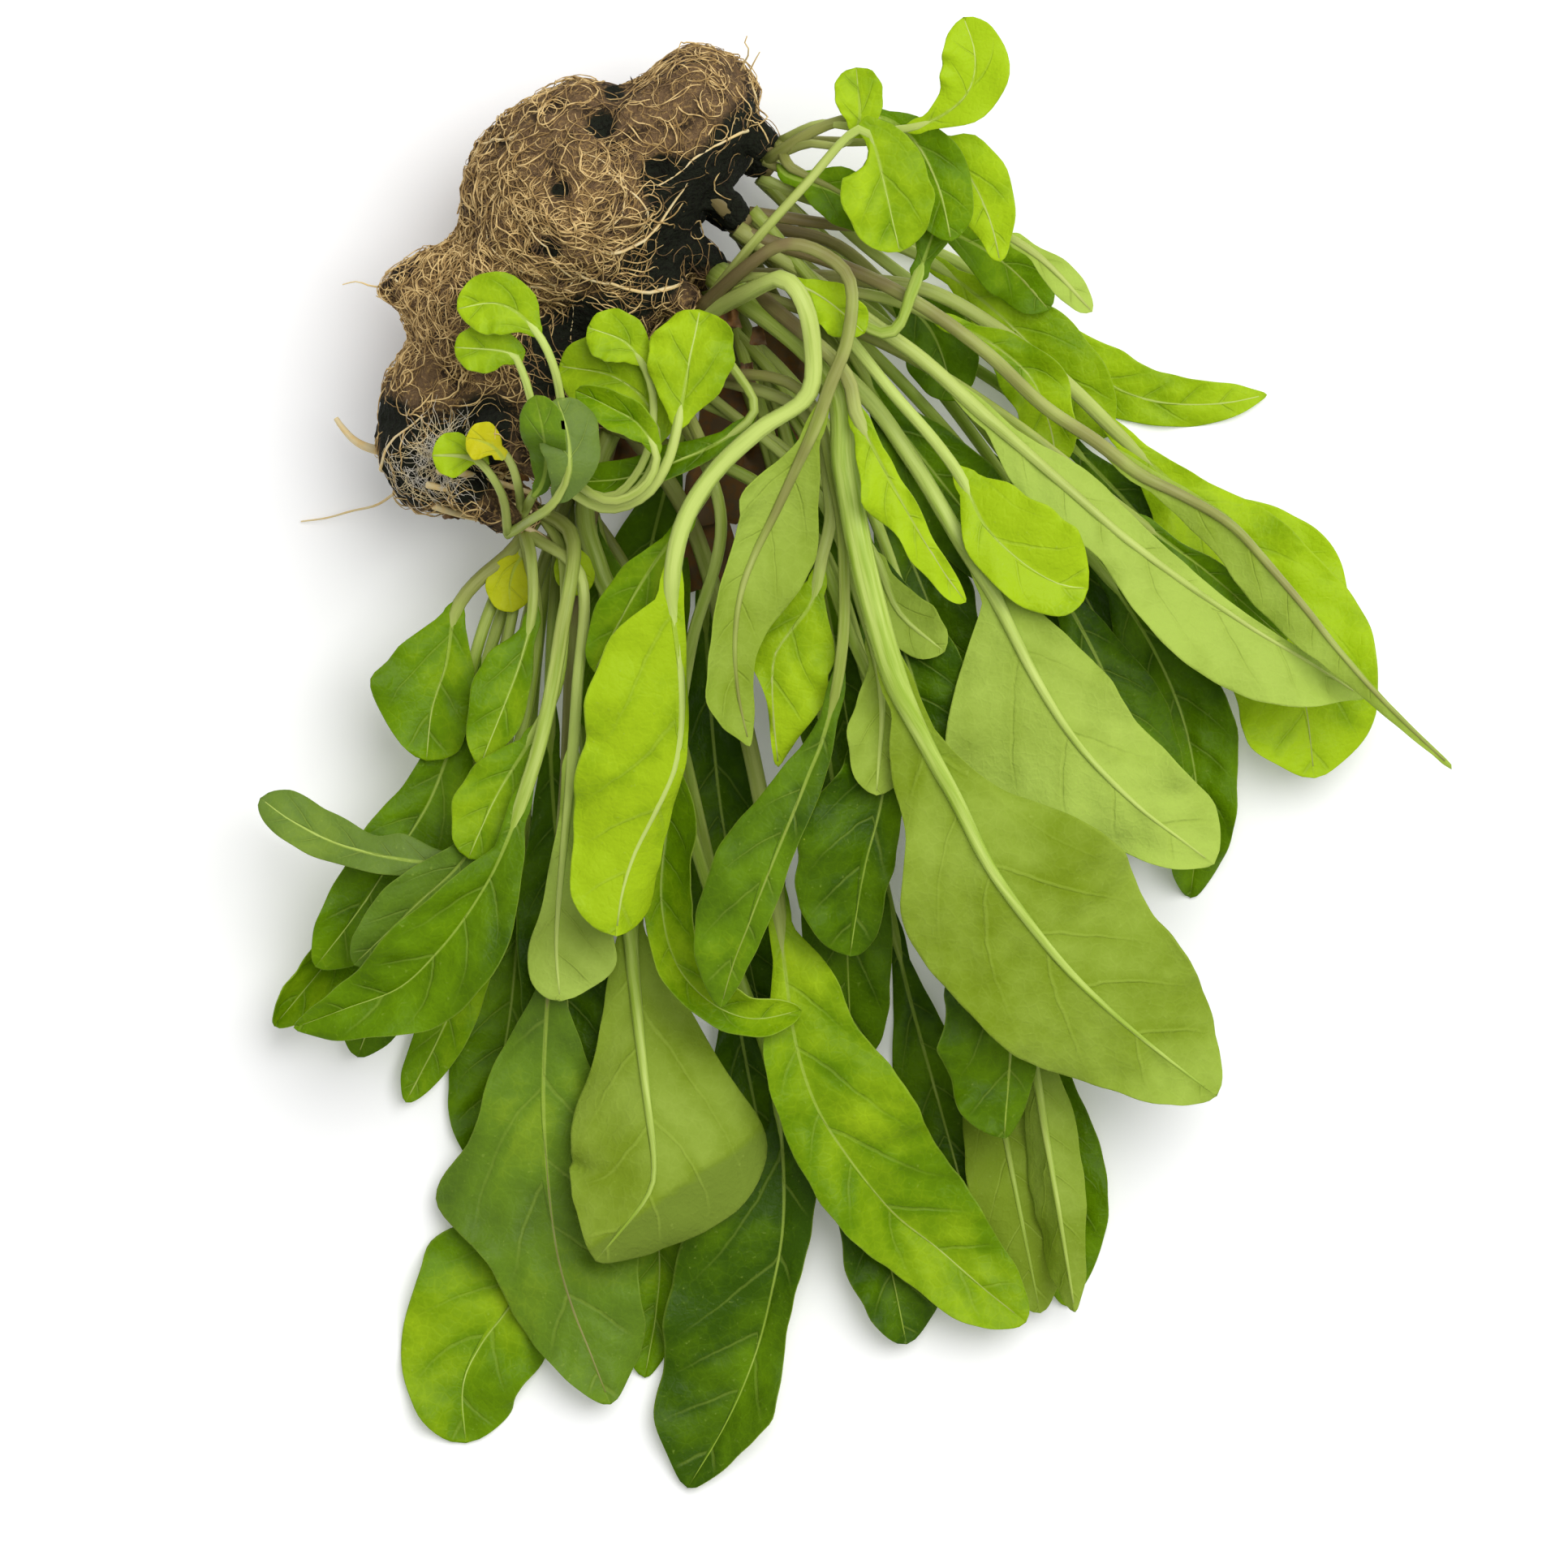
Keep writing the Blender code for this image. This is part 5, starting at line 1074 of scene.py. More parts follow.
def stepped(tree, value, low, high, at_low=0.0, at_high=1.0):
    """A smooth step of a value between two limits."""
    return add(tree, "MapRange", {"interpolation_type": "SMOOTHSTEP"},
               {"Value": value, "From Min": low, "From Max": high, "To Min": at_low, "To Max": at_high})


def ramp(tree, value, low, high):
    """An even rise of a value from 0 to 1 between two limits."""
    return add(tree, "MapRange", {}, {"Value": value, "From Min": low, "From Max": high})


def mixed(tree, share, first, second):
    return add(tree, "Mix", {"data_type": "RGBA"}, {"Factor": share, "A": first, "B": second})


def speckle(tree, spacing, detail=2.0):
    """Noise with features of this size in metres, over the object's own space."""
    where = add(tree, "TexCoord").outputs["Object"]
    return add(tree, "TexNoise", {}, {"Vector": where, "Scale": 1 / spacing, "Detail": detail})


def channels(tree, name):
    """The three numbers that a mesh stores under this name at every point."""
    stored = add(tree, "Attribute", {"attribute_name": name}).outputs["Vector"]
    return add(tree, "SeparateXYZ", {}, {"Vector": stored}).outputs


def new_material(name):
    """A new material and its nodes, with short ways to calculate, step and mix there."""
    made = bpy.data.materials.new(name)
    made.use_nodes = True
    tree = made.node_tree
    tree.nodes.clear()
    return made, tree, partial(math_node, tree), partial(stepped, tree), partial(mixed, tree)


def bumped(tree, height, distance):
    return add(tree, "Bump", {}, {"Strength": 1.0, "Distance": distance, "Height": height})


def matt_surface(tree, base, roughness, specular, **more):
    """A skin that lets no light through."""
    skin = add(tree, "BsdfPrincipled", {}, {"Base Color": base, "Roughness": roughness,
                                            "Specular IOR Level": specular, **more})
    add(tree, "OutputMaterial", {}, {"Surface": skin})


def leaf_surface(tree, base, light_through, roughness, normal, through, specular):
    """A waxy skin that also lets some light through, as a thin leaf does."""
    skin = add(tree, "BsdfPrincipled", {}, {"Base Color": base, "Roughness": roughness, "IOR": WAX_IOR,
                                            "Specular IOR Level": specular, "Normal": normal})
    glow = add(tree, "BsdfTranslucent", {}, {"Color": light_through, "Normal": normal})
    both = add(tree, "MixShader", {}, {0: through, 1: skin, 2: glow})
    add(tree, "OutputMaterial", {}, {"Surface": both})


# Spacing of the marks in each finish, and depth of its bumps, in metres
PATCHES = 0.022
BLOTCHES = 0.0045
SPOTS = 0.0009
VEIN_WOBBLE = 0.006
VEIN_NET = 0.0019
STALK_PATCHES = 0.012
CLODS = 0.006
GRAINS = 0.0008
ROOT_PATCHES = 0.0022
LEAF_BUMP = 0.00035
STALK_BUMP = 0.0003
PEAT_BUMP = 0.0012
WAX_IOR = 1.42


def leaf_material(name, settings, upper):
    """One side of a leaf. The upper side is a smooth green skin with fine pale veins sunk in it, the
    underside is duller and paler with raised veins."""
    made, tree, calc, step, mix = new_material(name)
    phase, across, share = channels(tree, "vein")
    tone_and_painted_light, bloom, edge = channels(tree, "tint")
    patches, blotches, spots = (speckle(tree, size, detail) for size, detail in
                                ((PATCHES, 3.0), (BLOTCHES, 3.0), (SPOTS, 2.0)))
    if upper:
        vein_strength, vein_height, net_height = 0.2, -0.3, -0.06
        smoothest, roughest, gloss = 0.38, 0.55, 0.17
    else:
        vein_strength, vein_height, net_height = 0.3, 0.35, 0.07
        smoothest, roughest, gloss = 0.55, 0.7, 0.1

    wobble = calc("MULTIPLY_ADD", speckle(tree, VEIN_WOBBLE), 0.16, phase)
    nearest = calc("ABSOLUTE", calc("SUBTRACT", calc("FRACT", calc("ADD", wobble, 0.42)), 0.5))
    side_vein = calc("MULTIPLY", step(nearest, 0.05, 0.01), step(edge, 0.95, 0.3))
    narrow = calc("MULTIPLY_ADD", share, -0.36, 0.5)
    midrib = step(calc("DIVIDE", calc("ABSOLUTE", across), narrow), 1.0, 0.5)
    net = add(tree, "TexVoronoi", {"feature": "DISTANCE_TO_EDGE"},
              {"Vector": add(tree, "TexCoord").outputs["Object"], "Scale": 1 / VEIN_NET})
    net_line = step(net, 0.14, 0.0)

    # This starts from the leaf's brightness, which is partly painted light and shade
    shade = tone_and_painted_light
    for mark, middle, strength in ((patches, 0.5, 1.25), (blotches, 0.5, 0.3), (share, 0.4, 0.1)):
        shade = calc("MULTIPLY_ADD", calc("SUBTRACT", mark, middle), strength, shade)
    shade = calc("MULTIPLY_ADD", net_line, 0.05, shade)
    # Painted shade and light: darker in the furrows along the side veins, lighter on the bulges between them
    painted_quilt_shading = calc("MULTIPLY", step(nearest, 0.0, 0.3, -0.08, 0.06), step(edge, 1.0, 0.4))
    shade = calc("ADD", painted_quilt_shading, shade)
    if upper:
        low = mix(ramp(tree, shade, 0.0, 0.5), settings.dark, settings.middle)
        base = mix(ramp(tree, shade, 0.5, 1.0), low, settings.bright)
    else:
        base = mix(ramp(tree, shade, 0.15, 1.0), settings.under, settings.under_pale)
    base = mix(step(bloom, 0.0, -1.0, 0.0, 0.85), base, settings.bloom)
    base = mix(step(bloom, 0.0, 1.0), base, settings.yellow)
    strength = calc("MAXIMUM", calc("MULTIPLY", side_vein, vein_strength),
                    calc("MULTIPLY", midrib, step(share, 1.0, 0.3, 0.15, 0.6)))
    strength = calc("MAXIMUM", strength, step(edge, 0.97, 1.0, 0.0, 0.25))
    base = mix(strength, base, settings.vein)
    base = mix(step(spots, 0.66, 0.8, 0.0, 0.25), base, settings.under_pale)
    light_through = mix(0.5, base, settings.bright)

    height = calc("MULTIPLY_ADD", side_vein, vein_height, calc("MULTIPLY", net_line, net_height))
    height = calc("MULTIPLY_ADD", spots, 0.35, calc("MULTIPLY_ADD", blotches, 1.2, height))
    normal = bumped(tree, height, LEAF_BUMP)
    roughness = step(patches, 0.3, 0.7, smoothest, roughest)
    leaf_surface(tree, base, light_through, roughness, normal, 0.25, gloss)
    return made


def stalk_material(name, settings):
    """Juicy, slightly ribbed stalks: pale green, streaked along, browner towards the crown."""
    made, tree, calc, step, mix = new_material(name)
    _, around, along = channels(tree, "vein")
    tone_and_painted_light, blush, _ = channels(tree, "tint")
    stretched = add(tree, "CombineXYZ", {}, {"X": around, "Y": calc("MULTIPLY", along, 0.06)})
    streaks = add(tree, "TexNoise", {}, {"Vector": stretched, "Scale": 0.9, "Detail": 3.0})
    # Stalks of leaves painted darker for shade are greener
    green = calc("MULTIPLY_ADD", tone_and_painted_light, -0.45, calc("MULTIPLY", streaks, 1.3))
    base = mix(step(green, 0.1, 0.8), settings.stalk, settings.stalk_green)
    near = step(along, 45.0, 4.0, 0.0, 0.75)
    stain = calc("MULTIPLY_ADD", blush, 0.7, calc("MULTIPLY", near, calc("ADD", blush, 0.25)))
    stain = calc("MULTIPLY", stain, step(speckle(tree, STALK_PATCHES), 0.25, 0.65, 0.55, 1.05))
    base = mix(calc("MINIMUM", stain, 0.92), base, settings.blush)
    leaf_surface(tree, base, base, 0.42, bumped(tree, streaks, STALK_BUMP), 0.14, 0.3)
    return made


def peat_material(name, settings):
    """Peat that dried on the outside: near black and a little green in places, among them painted shade under
    the ball by the crowns; brown and dusty with fine roots on the crumbs."""
    made, tree, calc, step, mix = new_material(name)
    dark_peat_and_shade = add(tree, "Attribute", {"attribute_name": "dark_peat_and_shade"}).outputs["Fac"]
    clods = speckle(tree, CLODS, 4.0)
    grains = speckle(tree, GRAINS, 4.0)
    base = mix(step(clods, 0.32, 0.6), settings.peat_dark, settings.peat)
    base = mix(step(grains, 0.5, 0.7, 0.0, 0.75), base, settings.brown)
    # Near black peat, which includes painted shade under the ball by the crowns
    black = mix(step(grains, 0.45, 0.75), settings.dark_peat_and_shade, settings.peat_dark)
    base = mix(step(calc("MULTIPLY_ADD", clods, 0.6, dark_peat_and_shade), 0.55, 0.85), base, black)
    matt_surface(tree, base, 0.95, 0.15, Normal=bumped(tree, grains, PEAT_BUMP))
    return made


def root_material(name, light, dark):
    """Dry skin: one colour that varies in patches from root to root."""
    made, tree, _, step, mix = new_material(name)
    base = mix(step(speckle(tree, ROOT_PATCHES), 0.36, 0.64), dark, light)
    matt_surface(tree, base, 0.75, 0.25)
    return made


def applied(made):
    """The mesh that an object's modifiers or bevel give. The object itself goes."""
    graph = bpy.context.evaluated_depsgraph_get()
    mesh = bpy.data.meshes.new_from_object(made.evaluated_get(graph))
    old = made.data
    bpy.data.objects.remove(made)
    if isinstance(old, bpy.types.Mesh):
        bpy.data.meshes.remove(old)
    return mesh


# Hollows in the root ball, in millimetres: x, y, radius in the plan and depth
PITS = ((10.8, 36.0, 4.6, 3.4), (8.5, 29.5, 3.0, 2.0), (6.4, 23.8, 2.8, 2.4), (-2.5, 1.3, 2.3, 1.7),
        (-1.0, 11.9, 2.1, 1.6), (16.0, 15.0, 3.0, 1.6), (-24.0, -20.0, 3.5, 1.5), (-13.0, -27.0, 4.0, 1.7),
        (4.0, -10.0, 5.0, 1.7), (-33.0, -12.5, 4.5, 2.2), (26.0, 9.0, 3.0, 1.8), (-30.0, -27.0, 3.5, 1.5))
# Where the peat is near black and roots are few: x, y and radius in the plan. By the crowns, under the
# ball, this is painted shade.
DARK_PEAT_AND_SHADE = ((31.5, 21.0, 5.0), (31.0, 14.0, 6.0), (24.0, 12.0, 5.0), (17.0, 13.5, 4.0), (6.4, 23.8, 2.8),
       (-2.5, 1.3, 2.0), (-1.0, 11.9, 1.7), (18.0, 2.0, 6.0), (13.0, -5.0, 5.0), (4.0, -12.5, 5.5),
       (-2.0, -17.0, 7.0), (-32.0, -27.5, 4.5), (-14.0, -29.0, 6.0), (30.0, 4.0, 6.0), (-25.0, -32.5, 5.0),
       (-19.0, -38.5, 5.5), (-28.0, -38.0, 4.5), (8.5, 30.0, 1.8), (36.0, 27.0, 4.0))
# Where the straw-coloured roots mat thickest: x, y and radius in the plan
MATTED = ((-6.0, 6.0, 13.0), (-18.0, -3.0, 9.0), (-25.0, -16.0, 7.0), (-8.0, -3.0, 8.0), (4.0, -1.0, 6.0))

# The peat's faces, how far it swells to begin with, and its crumbs as size and depth, in millimetres
PEAT_FACE = 0.85
SWELLING = 0.5
CRUMBS = ((8.0, 1.3), (3.1, 0.9), (1.4, 0.5))
# Radius of the peat round a root, in millimetres, at the root's tip, and how much less at the crown
ROOT_BED = 4.1
BED_TAPER = 1.6
# Below this height few roots show. The way that they run turns once in about this length.
FEW_ROOTS_BELOW = 14.0 * MM
COMBED_OVER = 14.0 * MM
SUNK = 0.15 * MM


def nearness(x, y, place):
    """How near a point of the plan is to the middle of a round place, from 0 to 1."""
    u, v, radius = place[:3]
    return math.exp(-((x - u) ** 2 + (y - v) ** 2) / radius ** 2)


def within(x, y, places):
    """How deep a point of the plan lies within any of these places, from 0 to 1."""
    return min(1.0, sum(nearness(x, y, place) for place in places))


def peat_bed(crowns):
    """The solid root ball, closed round the roots that stand in it, as one even mesh."""
    shape = bmesh.new()
    shape.from_mesh(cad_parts["soil_ball"].data)
    bmesh.ops.remove_doubles(shape, verts=shape.verts, dist=1e-6)
    for crown in crowns:
        inner, outer = crown_axis(crown)
        for share in np.arange(-0.05, 0.66, 0.1):
            bmesh.ops.create_icosphere(shape, subdivisions=2, radius=(ROOT_BED - BED_TAPER * share) * MM,
                                       matrix=Matrix.Translation(inner.lerp(outer, share) * MM))
    made = linked("ball", mesh_of(shape, "ball"))
    even = made.modifiers.new("Even faces", "REMESH")
    even.mode = "VOXEL"
    even.voxel_size = PEAT_FACE * MM
    return applied(made)


def ball_mesh(settings, crowns):
    """The root ball with its crumbs, eaten away between them."""
    mesh = peat_bed(crowns)
    shape = bmesh.new()
    shape.from_mesh(mesh)
    shape.normal_update()
    # How near black the peat is, painted shade under the ball by the crowns included
    dark_peat_and_shade_layer = shape.verts.layers.float.new("dark_peat_and_shade")
    spots = []
    for vert in shape.verts:
        at = vert.co / MM
        depth = sum(strength * abs(noise.noise(at / size)) for size, strength in CRUMBS)
        vert[dark_peat_and_shade_layer] = within(at.x, at.y, DARK_PEAT_AND_SHADE)
        pit = 0.0
        if vert.normal.z > -0.3:
            pit = max(deep * nearness(at.x, at.y, place) for *place, deep in PITS)
        spots.append(vert.co + vert.normal * ((SWELLING - pit) * MM - depth * settings.crumb * 0.6))
    for vert, spot in zip(shape.verts, spots):
        vert.co = spot
        vert.co.z = max(spot.z, 0.02 * MM)
    for face in shape.faces:
        face.smooth = True
    bmesh.ops.triangulate(shape, faces=shape.faces)
    shape.to_mesh(mesh)
    shape.free()
    return mesh


def coverage(spot, bare_share):
    """How thickly roots lie at a spot of the ball."""
    x, y = spot.x / MM, spot.y / MM
    share = (0.28 + 0.72 * within(x, y, MATTED)) if spot.z > FEW_ROOTS_BELOW else 0.12
    return share * (1 - (1 - bare_share) * within(x, y, DARK_PEAT_AND_SHADE))


def combed(spot):
    """The way that most roots run at a spot: it turns slowly over the ball."""
    return Vector([noise.noise(spot / COMBED_OVER + Vector(shift))
                   for shift in ((0, 0, 0), (9, 0, 0), (0, 9, 0))]).normalized()


def surface_of(mesh):
    """A mesh's faces, sorted so that the nearest one is found fast."""
    return BVHTree.FromPolygons([v.co for v in mesh.vertices], [p.vertices for p in mesh.polygons])


def wander(surface, draw, start, heading, steps, step, turn, lift):
    """A root's path over the ball: it hugs the surface, curls, and rises a little between its ends."""
    path = []
    rate = draw.normal() * turn
    for k in range(steps):
        spot, normal, _, _ = surface.find_nearest(start)
        hump = lift * math.sin(math.pi * k / (steps - 1)) - SUNK
        path.append(spot + normal * hump)
        rate = 0.75 * rate + draw.normal() * turn * 0.6
        side = normal.cross(heading)
        heading = (heading + side * rate * step)
        heading = (heading - normal * heading.dot(normal)).normalized()
        start = spot + heading * step
    return path


def fibre_mesh(name, paths, radii, sides=0):
    """Thin closed tubes along the paths."""
    curve = bpy.data.curves.new(name, "CURVE")
    curve.dimensions = "3D"
    curve.bevel_depth = 1.0
    curve.bevel_resolution = sides
    curve.use_fill_caps = True
    for path, radius in zip(paths, radii):
        line = curve.splines.new("POLY")
        line.points.add(len(path) - 1)
        taper = [radius * (1 - 0.55 * k / len(path)) for k in range(len(path))]
        line.points.foreach_set("co", [c for spot in path for c in (*spot, 1.0)])
        line.points.foreach_set("radius", taper)
    mesh = applied(linked(name, curve))
    bpy.data.curves.remove(curve)
    return mesh


def scattered_starts(ball, draw, count, bare_share):
    """Seeded spots all over the ball, fewer where the peat lies bare."""
    areas = np.array([p.area for p in ball.polygons])
    picks = draw.choice(len(areas), size=9 * count, p=areas / areas.sum())
    found = []
    for pick in picks:
        polygon = ball.polygons[int(pick)]
        if draw.random() < coverage(polygon.center, bare_share):
            found.append(polygon.center.copy())
        if len(found) == count:
            break
    return found


def fibres(ball, name, count, seed, radius, bare_share, steps, step, turn, lift, sides):
    """A mat of roots that start all over the ball and keep out of its hollows."""
    draw = np.random.default_rng(seed)
    surface = surface_of(ball)
    paths, radii = [], []
    for start in scattered_starts(ball, draw, count, bare_share):
        heading = (combed(start) * 1.4 + Vector(draw.normal(size=3)) * 0.6).normalized()
        path = wander(surface, draw, start, heading, steps, step, turn, lift * draw.random())
        hollow = max(nearness(spot.x / MM, spot.y / MM, pit) for spot in path for pit in PITS)
        if hollow < 0.4 + 0.6 * draw.random() and min(spot.z for spot in path) > radius * 2:
            paths.append(path)
            radii.append(radius * (0.6 + 0.8 * draw.random()))
    return fibre_mesh(name, paths, radii, sides)


# Roots that hang loose from the ball: radius, then points x, y and z, in millimetres
LOOSE_ROOTS = (
    (0.8, ((-22, -36.5, 41.5), (-18, -37, 38.5), (-14, -37.8, 33.5), (-10, -39, 30), (-5, -40.5, 28))),
    (0.65, ((-24, -39, 38.5), (-19, -40, 35), (-15, -40.8, 30), (-10, -42, 27), (-6, -43.5, 26))),
    (0.75, ((-23, -42.5, 32), (-19, -43.8, 28), (-15, -44.7, 25), (-11, -45.3, 24), (-8, -46, 24))),
    (0.85, ((-14, -42.5, 26), (-10, -44.6, 25), (-6, -46.8, 24), (-2, -49, 22))),
    (0.28, ((-27, -38, 14), (-30, -39.8, 11), (-33.5, -42, 7), (-38, -43, 3.5), (-42.5, -44.2, 1.6),
            (-47, -44.8, 0.6))),
    (0.2, ((-31, -4.5, 30), (-34, -4.2, 29.5), (-36.5, -3.4, 28.5), (-39, -3.9, 27.5))),
    (0.22, ((29.5, 31, 38), (31, 34, 42), (32, 36, 45), (31.2, 37.4, 46.5), (31.6, 38.6, 47.5))),
    (0.2, ((31, 30, 36), (32.4, 33.5, 41), (33.8, 36, 43.5))),
    (0.95, ((-30, -33, 20), (-34, -32.4, 20), (-37, -31, 19), (-39.3, -28.6, 18), (-40.4, -27, 17.5))),
)
# Places of the white root hairs: x, y and spread in the plan, in millimetres
HAIRS = ((-24.5, -37.0, 6.5), (-21.0, -33.5, 4.0))
# Places of the dried scraps of leaf: x, y, z and size, in millimetres
SCRAPS = ((28.5, -9.5, 37.0, 3.6), (31.5, -19.5, 33.0, 3.0), (33.5, -13.0, 34.0, 2.6),
          (-20.0, -42.5, 13.0, 3.4), (-8.0, -36.5, 24.0, 2.8), (28.4, -25.0, 8.0, 11.0),
          (26.5, -38.0, 7.0, 12.0), (37.0, -16.0, 9.0, 10.0), (9.8, -33.0, 8.0, 8.0),
          (24.5, -50.5, 5.5, 11.0), (38.5, -28.5, 8.0, 8.0), (31.0, -33.0, 7.0, 9.0))
SCRAP_THICKNESS = 0.25
MOST_CRUMPLING = 4.0


def hair_mesh(ball, draw, count, radius):
    """White hairs that cling to the underside of the lowest lobe, in a loose web."""
    surface = surface_of(ball)
    paths = []
    for k in range(count):
        x, y, spread = HAIRS[k % len(HAIRS)]
        above = Vector((x + draw.normal() * spread * 0.5, y + draw.normal() * spread * 0.5, 70.0)) * MM
        hit = surface.ray_cast(above, Vector((0, 0, -1)))[0]
        if hit is not None:
            heading = Vector(draw.normal(size=3)).normalized()
            paths.append(wander(surface, draw, hit, heading, 8, 0.9 * MM, 120.0, 1.2 * MM))
    return fibre_mesh("root_hairs", paths, [radius] * len(paths))


def scrap_mesh():
    """Small crumpled sheets: dried leaves at the crowns."""
    shape = bmesh.new()
    for number, (x, y, z, size) in enumerate(SCRAPS):
        made = bmesh.ops.create_grid(shape, x_segments=7, y_segments=7, size=0.5)["verts"]
        for vert in made:
            u, v = vert.co.x, vert.co.y
            swing = Vector((3.0 * u + 5 * number, 3.0 * v, 1.7 * number))
            out = size * (1 - 0.35 * abs(noise.noise(swing * 2)))
            crumple = min(size, MOST_CRUMPLING) * (0.9 * noise.noise(swing) + 0.8 * u * u)
            vert.co = Vector((x + out * u * (1 - 0.5 * v), y + out * 1.3 * v, z + crumple)) * MM
        faces = list({face for vert in made for face in vert.link_faces})
        bmesh.ops.solidify(shape, geom=faces, thickness=SCRAP_THICKNESS * MM)
    for face in shape.faces:
        face.smooth = True
    bmesh.ops.recalc_face_normals(shape, faces=shape.faces)
    return mesh_of(shape, "scraps")


class ARUGULA_OT_plants(bpy.types.Operator):
    """Makes the leaves, stalks and crowns of every plant"""

    bl_idname = "arugula.plants"
    bl_label = "Plants"

    def execute(self, context):
        settings = context.scene.arugula_leaves
        materials = [leaf_material("Arugula leaf, upper side", settings, True),
                     leaf_material("Arugula leaf, underside", settings, False),
                     stalk_material("Arugula stalk", settings)]
        seed = 0.0
        # Each leaf has its own seed, so no two have the same waves
        for spec, crown, lines in laid_out():
            meshes = [crown_mesh(crown)]
            for one, laid, look in zip(spec.leaves, lines, LOOKS[spec.name]):
                seed += 1.37
                crease = CREASES.get((spec.name, one.name))
                meshes += leaf_meshes(one, crown, laid, look, crease, seed, settings)
            mesh = joined_mesh(spec.name + "_leaves", meshes)
            piece(spec.name + "_leaves", mesh, materials, "leaf", spec.name)
        return {"FINISHED"}


class ARUGULA_OT_root_ball(bpy.types.Operator):
    """Makes the crumbled peat and the mat of roots round it"""

    bl_idname = "arugula.root_ball"
    bl_label = "Root ball"

    def execute(self, context):
        settings = context.scene.arugula_roots
        ball = ball_mesh(settings, [crown for _, crown, _ in laid_out()])
        piece("peat_ball", ball, [peat_material("Peat, crumbled", settings)], "peat", "soil_ball")
        fine = settings.fibre
        straw = root_material("Straw-coloured roots", settings.straw, settings.brown)
        brown = root_material("Brown roots", settings.brown, settings.peat)
        pale = root_material("Pale roots", settings.pale, settings.straw)
        # Number, seed, radius, share left on the near black peat, steps, their length, turn, lift, extra
        # sides
        mats = {
            "roots_straw": (settings.straw_count, 11, fine * 1.6, 0.03, 11, 1.0 * MM, 420.0, 1.2 * MM, 0),
            "roots_felt": (settings.straw_count, 17, fine, 0.04, 11, 1.0 * MM, 260.0, 0.6 * MM, 0),
            "roots_brown": (settings.brown_count, 23, fine * 1.3, 0.1, 11, 1.1 * MM, 300.0, 0.4 * MM, 0),
            "roots_pale": (settings.thick_count, 37, 0.3 * MM, 0.5, 16, 1.6 * MM, 90.0, 0.7 * MM, 1),
        }
        for (name, growth), finish in zip(mats.items(), (straw, brown, brown, pale)):
            piece(name, fibres(ball, name, *growth), [finish], "peat", "soil_ball")
        loose = fibre_mesh("roots_loose", [[Vector(p) * MM for p in resampled(points, 1.2)[0]]
                                           for _, points in LOOSE_ROOTS],
                           [radius * MM for radius, _ in LOOSE_ROOTS], 1)
        piece("roots_loose", loose, [pale], "peat", "soil_ball")
        hairs = hair_mesh(ball, np.random.default_rng(5), settings.hair_count, fine * 0.6)
        white = root_material("Root hairs", settings.white, settings.pale)
        piece("root_hairs", hairs, [white], "peat", "soil_ball")
        dry = root_material("Dried leaf", settings.dry, settings.peat)
        piece("scraps", scrap_mesh(), [dry], "peat", "soil_ball")
        return {"FINISHED"}


class ARUGULA_OT_stage(bpy.types.Operator):
    """Makes the table, the lights and the camera"""

    bl_idname = "arugula.stage"
    bl_label = "Stage"

    def execute(self, context):
        settings = context.scene.arugula_stage
        make_table(settings)
        make_lights(context.scene, settings)
        make_camera(context.scene, settings)
        context.scene.view_settings.view_transform = "Standard"
        return {"FINISHED"}


# The middle of the picture on the table, and the lamp's place over it and width, in metres
VIEW_CENTRE = Vector((0.038, -0.091, 0.0))
LAMP_PLACE = Vector((0.5, 0.5, 1.4))
LAMP_WIDTH = 1.4
TABLE_HALF = 2.0
TABLE_GLOW = 0.13
SENSOR = 36.0


def make_table(settings):
    shape = bmesh.new()
    bmesh.ops.create_grid(shape, x_segments=1, y_segments=1, size=TABLE_HALF)
    mesh = mesh_of(shape, "table")
    made, tree, *_ = new_material("Table, white and lit from within")
    matt_surface(tree, settings.table, 0.6, 0.2,
                 **{"Emission Color": (1.0, 1.0, 1.0, 1.0), "Emission Strength": TABLE_GLOW})
    mesh.materials.append(made)
    table = linked("table", mesh)


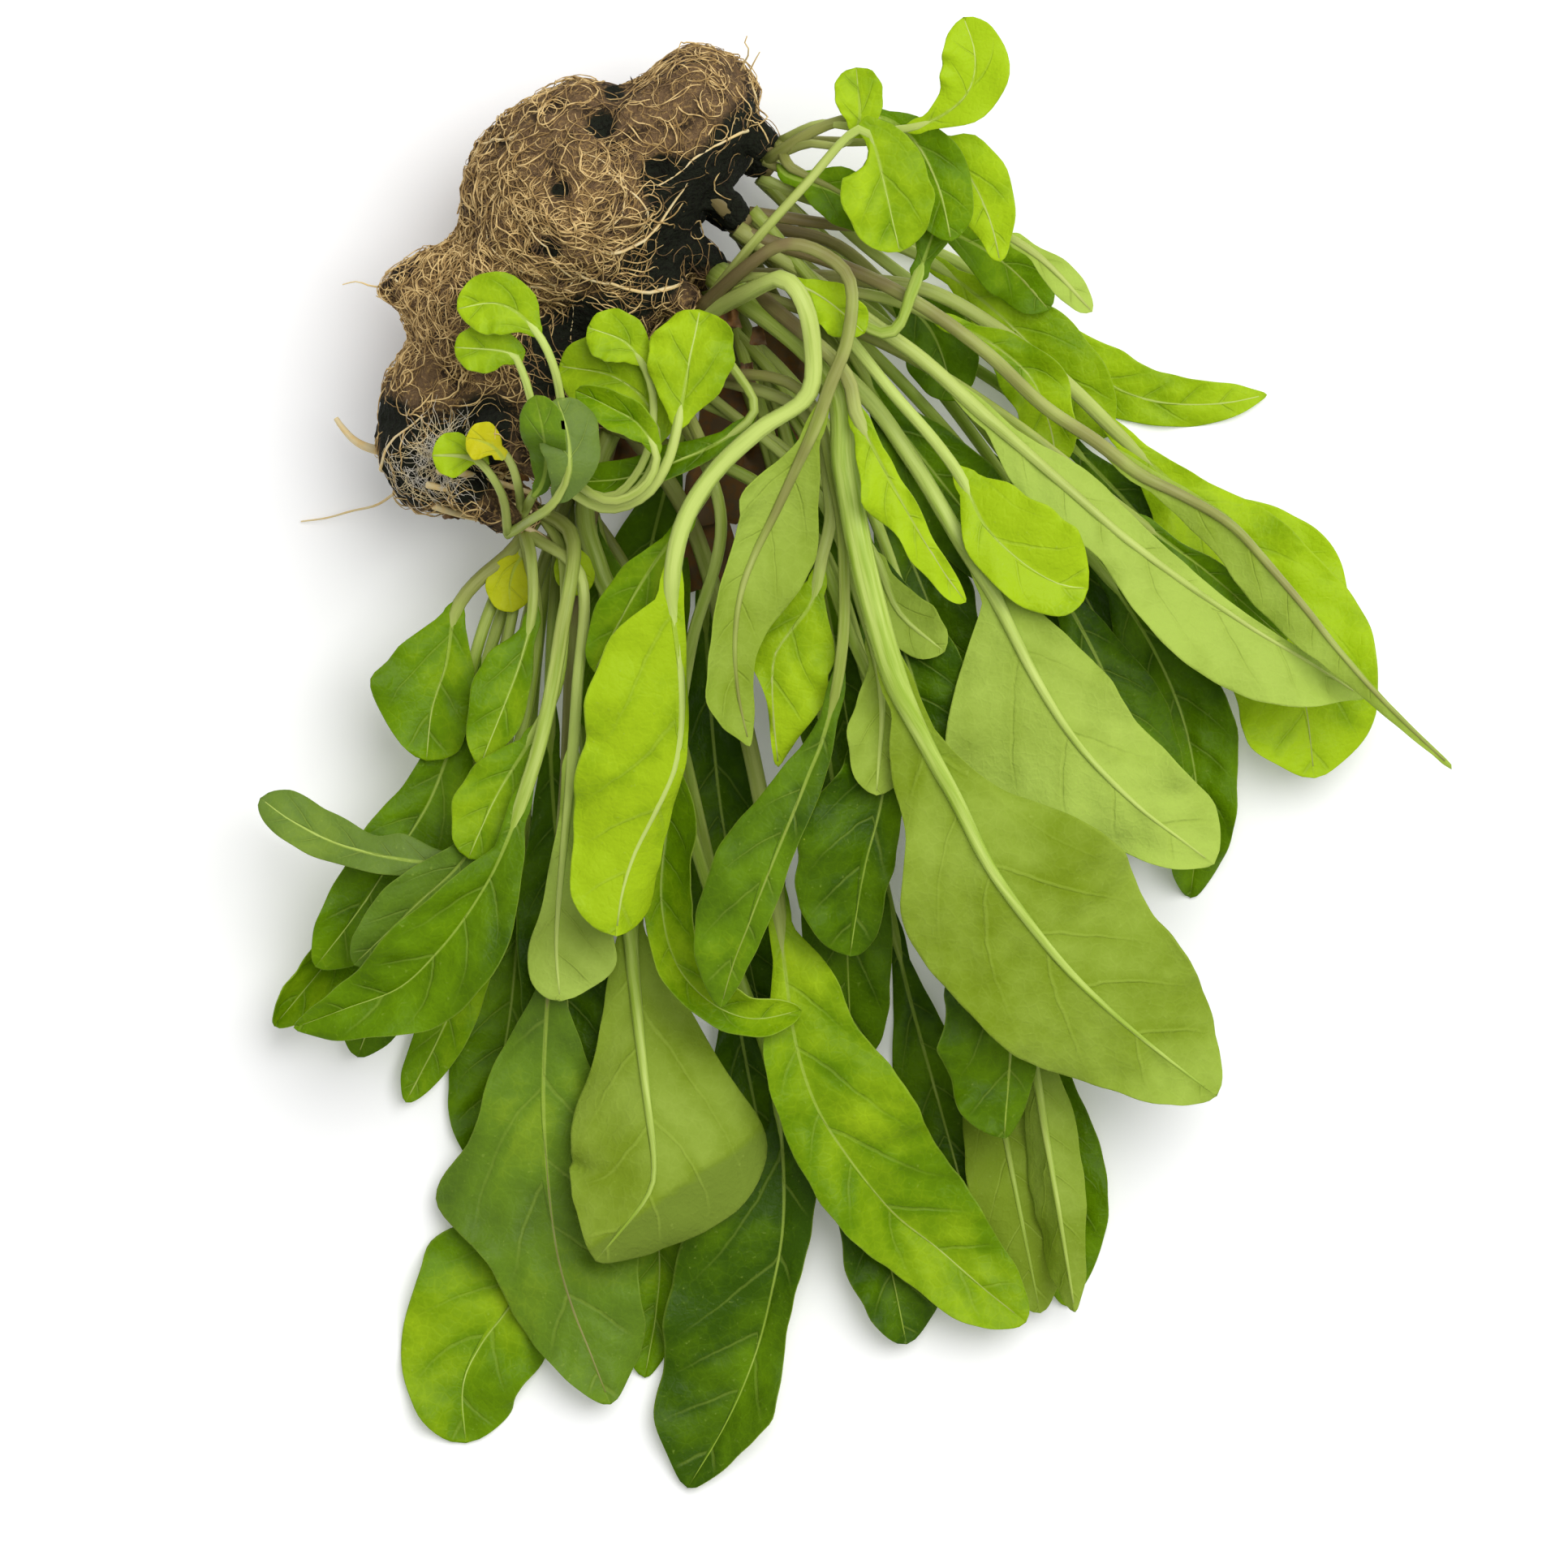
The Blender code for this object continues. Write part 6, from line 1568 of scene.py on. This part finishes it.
def make_lights(scene, settings):
    lamp = bpy.data.lights.new("Key", "AREA")
    lamp.shape = "DISK"
    lamp.size = LAMP_WIDTH
    lamp.energy = settings.key_power
    key = linked("Key", lamp)
    key.location = VIEW_CENTRE + LAMP_PLACE
    key.rotation_euler = (VIEW_CENTRE - key.location).to_track_quat("-Z", "Y").to_euler()
    world = bpy.data.worlds.new("Soft box")
    scene.world = world
    world.use_nodes = True
    light = world.node_tree.nodes["Background"].inputs
    light["Color"].default_value = (1.0, 1.0, 1.0, 1.0)
    light["Strength"].default_value = settings.sky_strength


def make_camera(scene, settings):
    lens = bpy.data.cameras.new("Camera")
    lens.sensor_width = SENSOR
    lens.lens = SENSOR * settings.camera_height / settings.view_width
    lens.clip_start = 0.01
    lens.clip_end = 50.0
    made = linked("Camera", lens)
    made.location = VIEW_CENTRE
    made.location.z = settings.camera_height
    scene.camera = made


class ARUGULA_PT_panel(bpy.types.Panel):
    """Lists what makes the bunch, with its sizes and colours"""

    bl_idname = "ARUGULA_PT_panel"
    bl_label = "Bunch of arugula"
    bl_space_type = "VIEW_3D"
    bl_region_type = "UI"
    bl_category = "Arugula"

    def draw(self, context):
        for name, (_, operator) in GROUPS.items():
            box = self.layout.box()
            box.operator(operator.bl_idname)
            settings = getattr(context.scene, name)
            for field in settings.__annotations__:
                box.prop(settings, field)


GROUPS = {
    "arugula_leaves": (ArugulaLeafSettings, ARUGULA_OT_plants),
    "arugula_roots": (ArugulaRootSettings, ARUGULA_OT_root_ball),
    "arugula_stage": (ArugulaStageSettings, ARUGULA_OT_stage),
}
CLASSES = (*(one for pair in GROUPS.values() for one in pair), ARUGULA_PT_panel)


def register():
    for one in CLASSES:
        bpy.utils.register_class(one)
    for name, (settings, _) in GROUPS.items():
        setattr(bpy.types.Scene, name, PointerProperty(type=settings))


def unregister():
    for name in GROUPS:
        delattr(bpy.types.Scene, name)
    for one in reversed(CLASSES):
        bpy.utils.unregister_class(one)


def main():
    register()
    bpy.ops.arugula.plants()
    bpy.ops.arugula.root_ball()
    bpy.ops.arugula.stage()


if __name__ == "__main__":
    main()
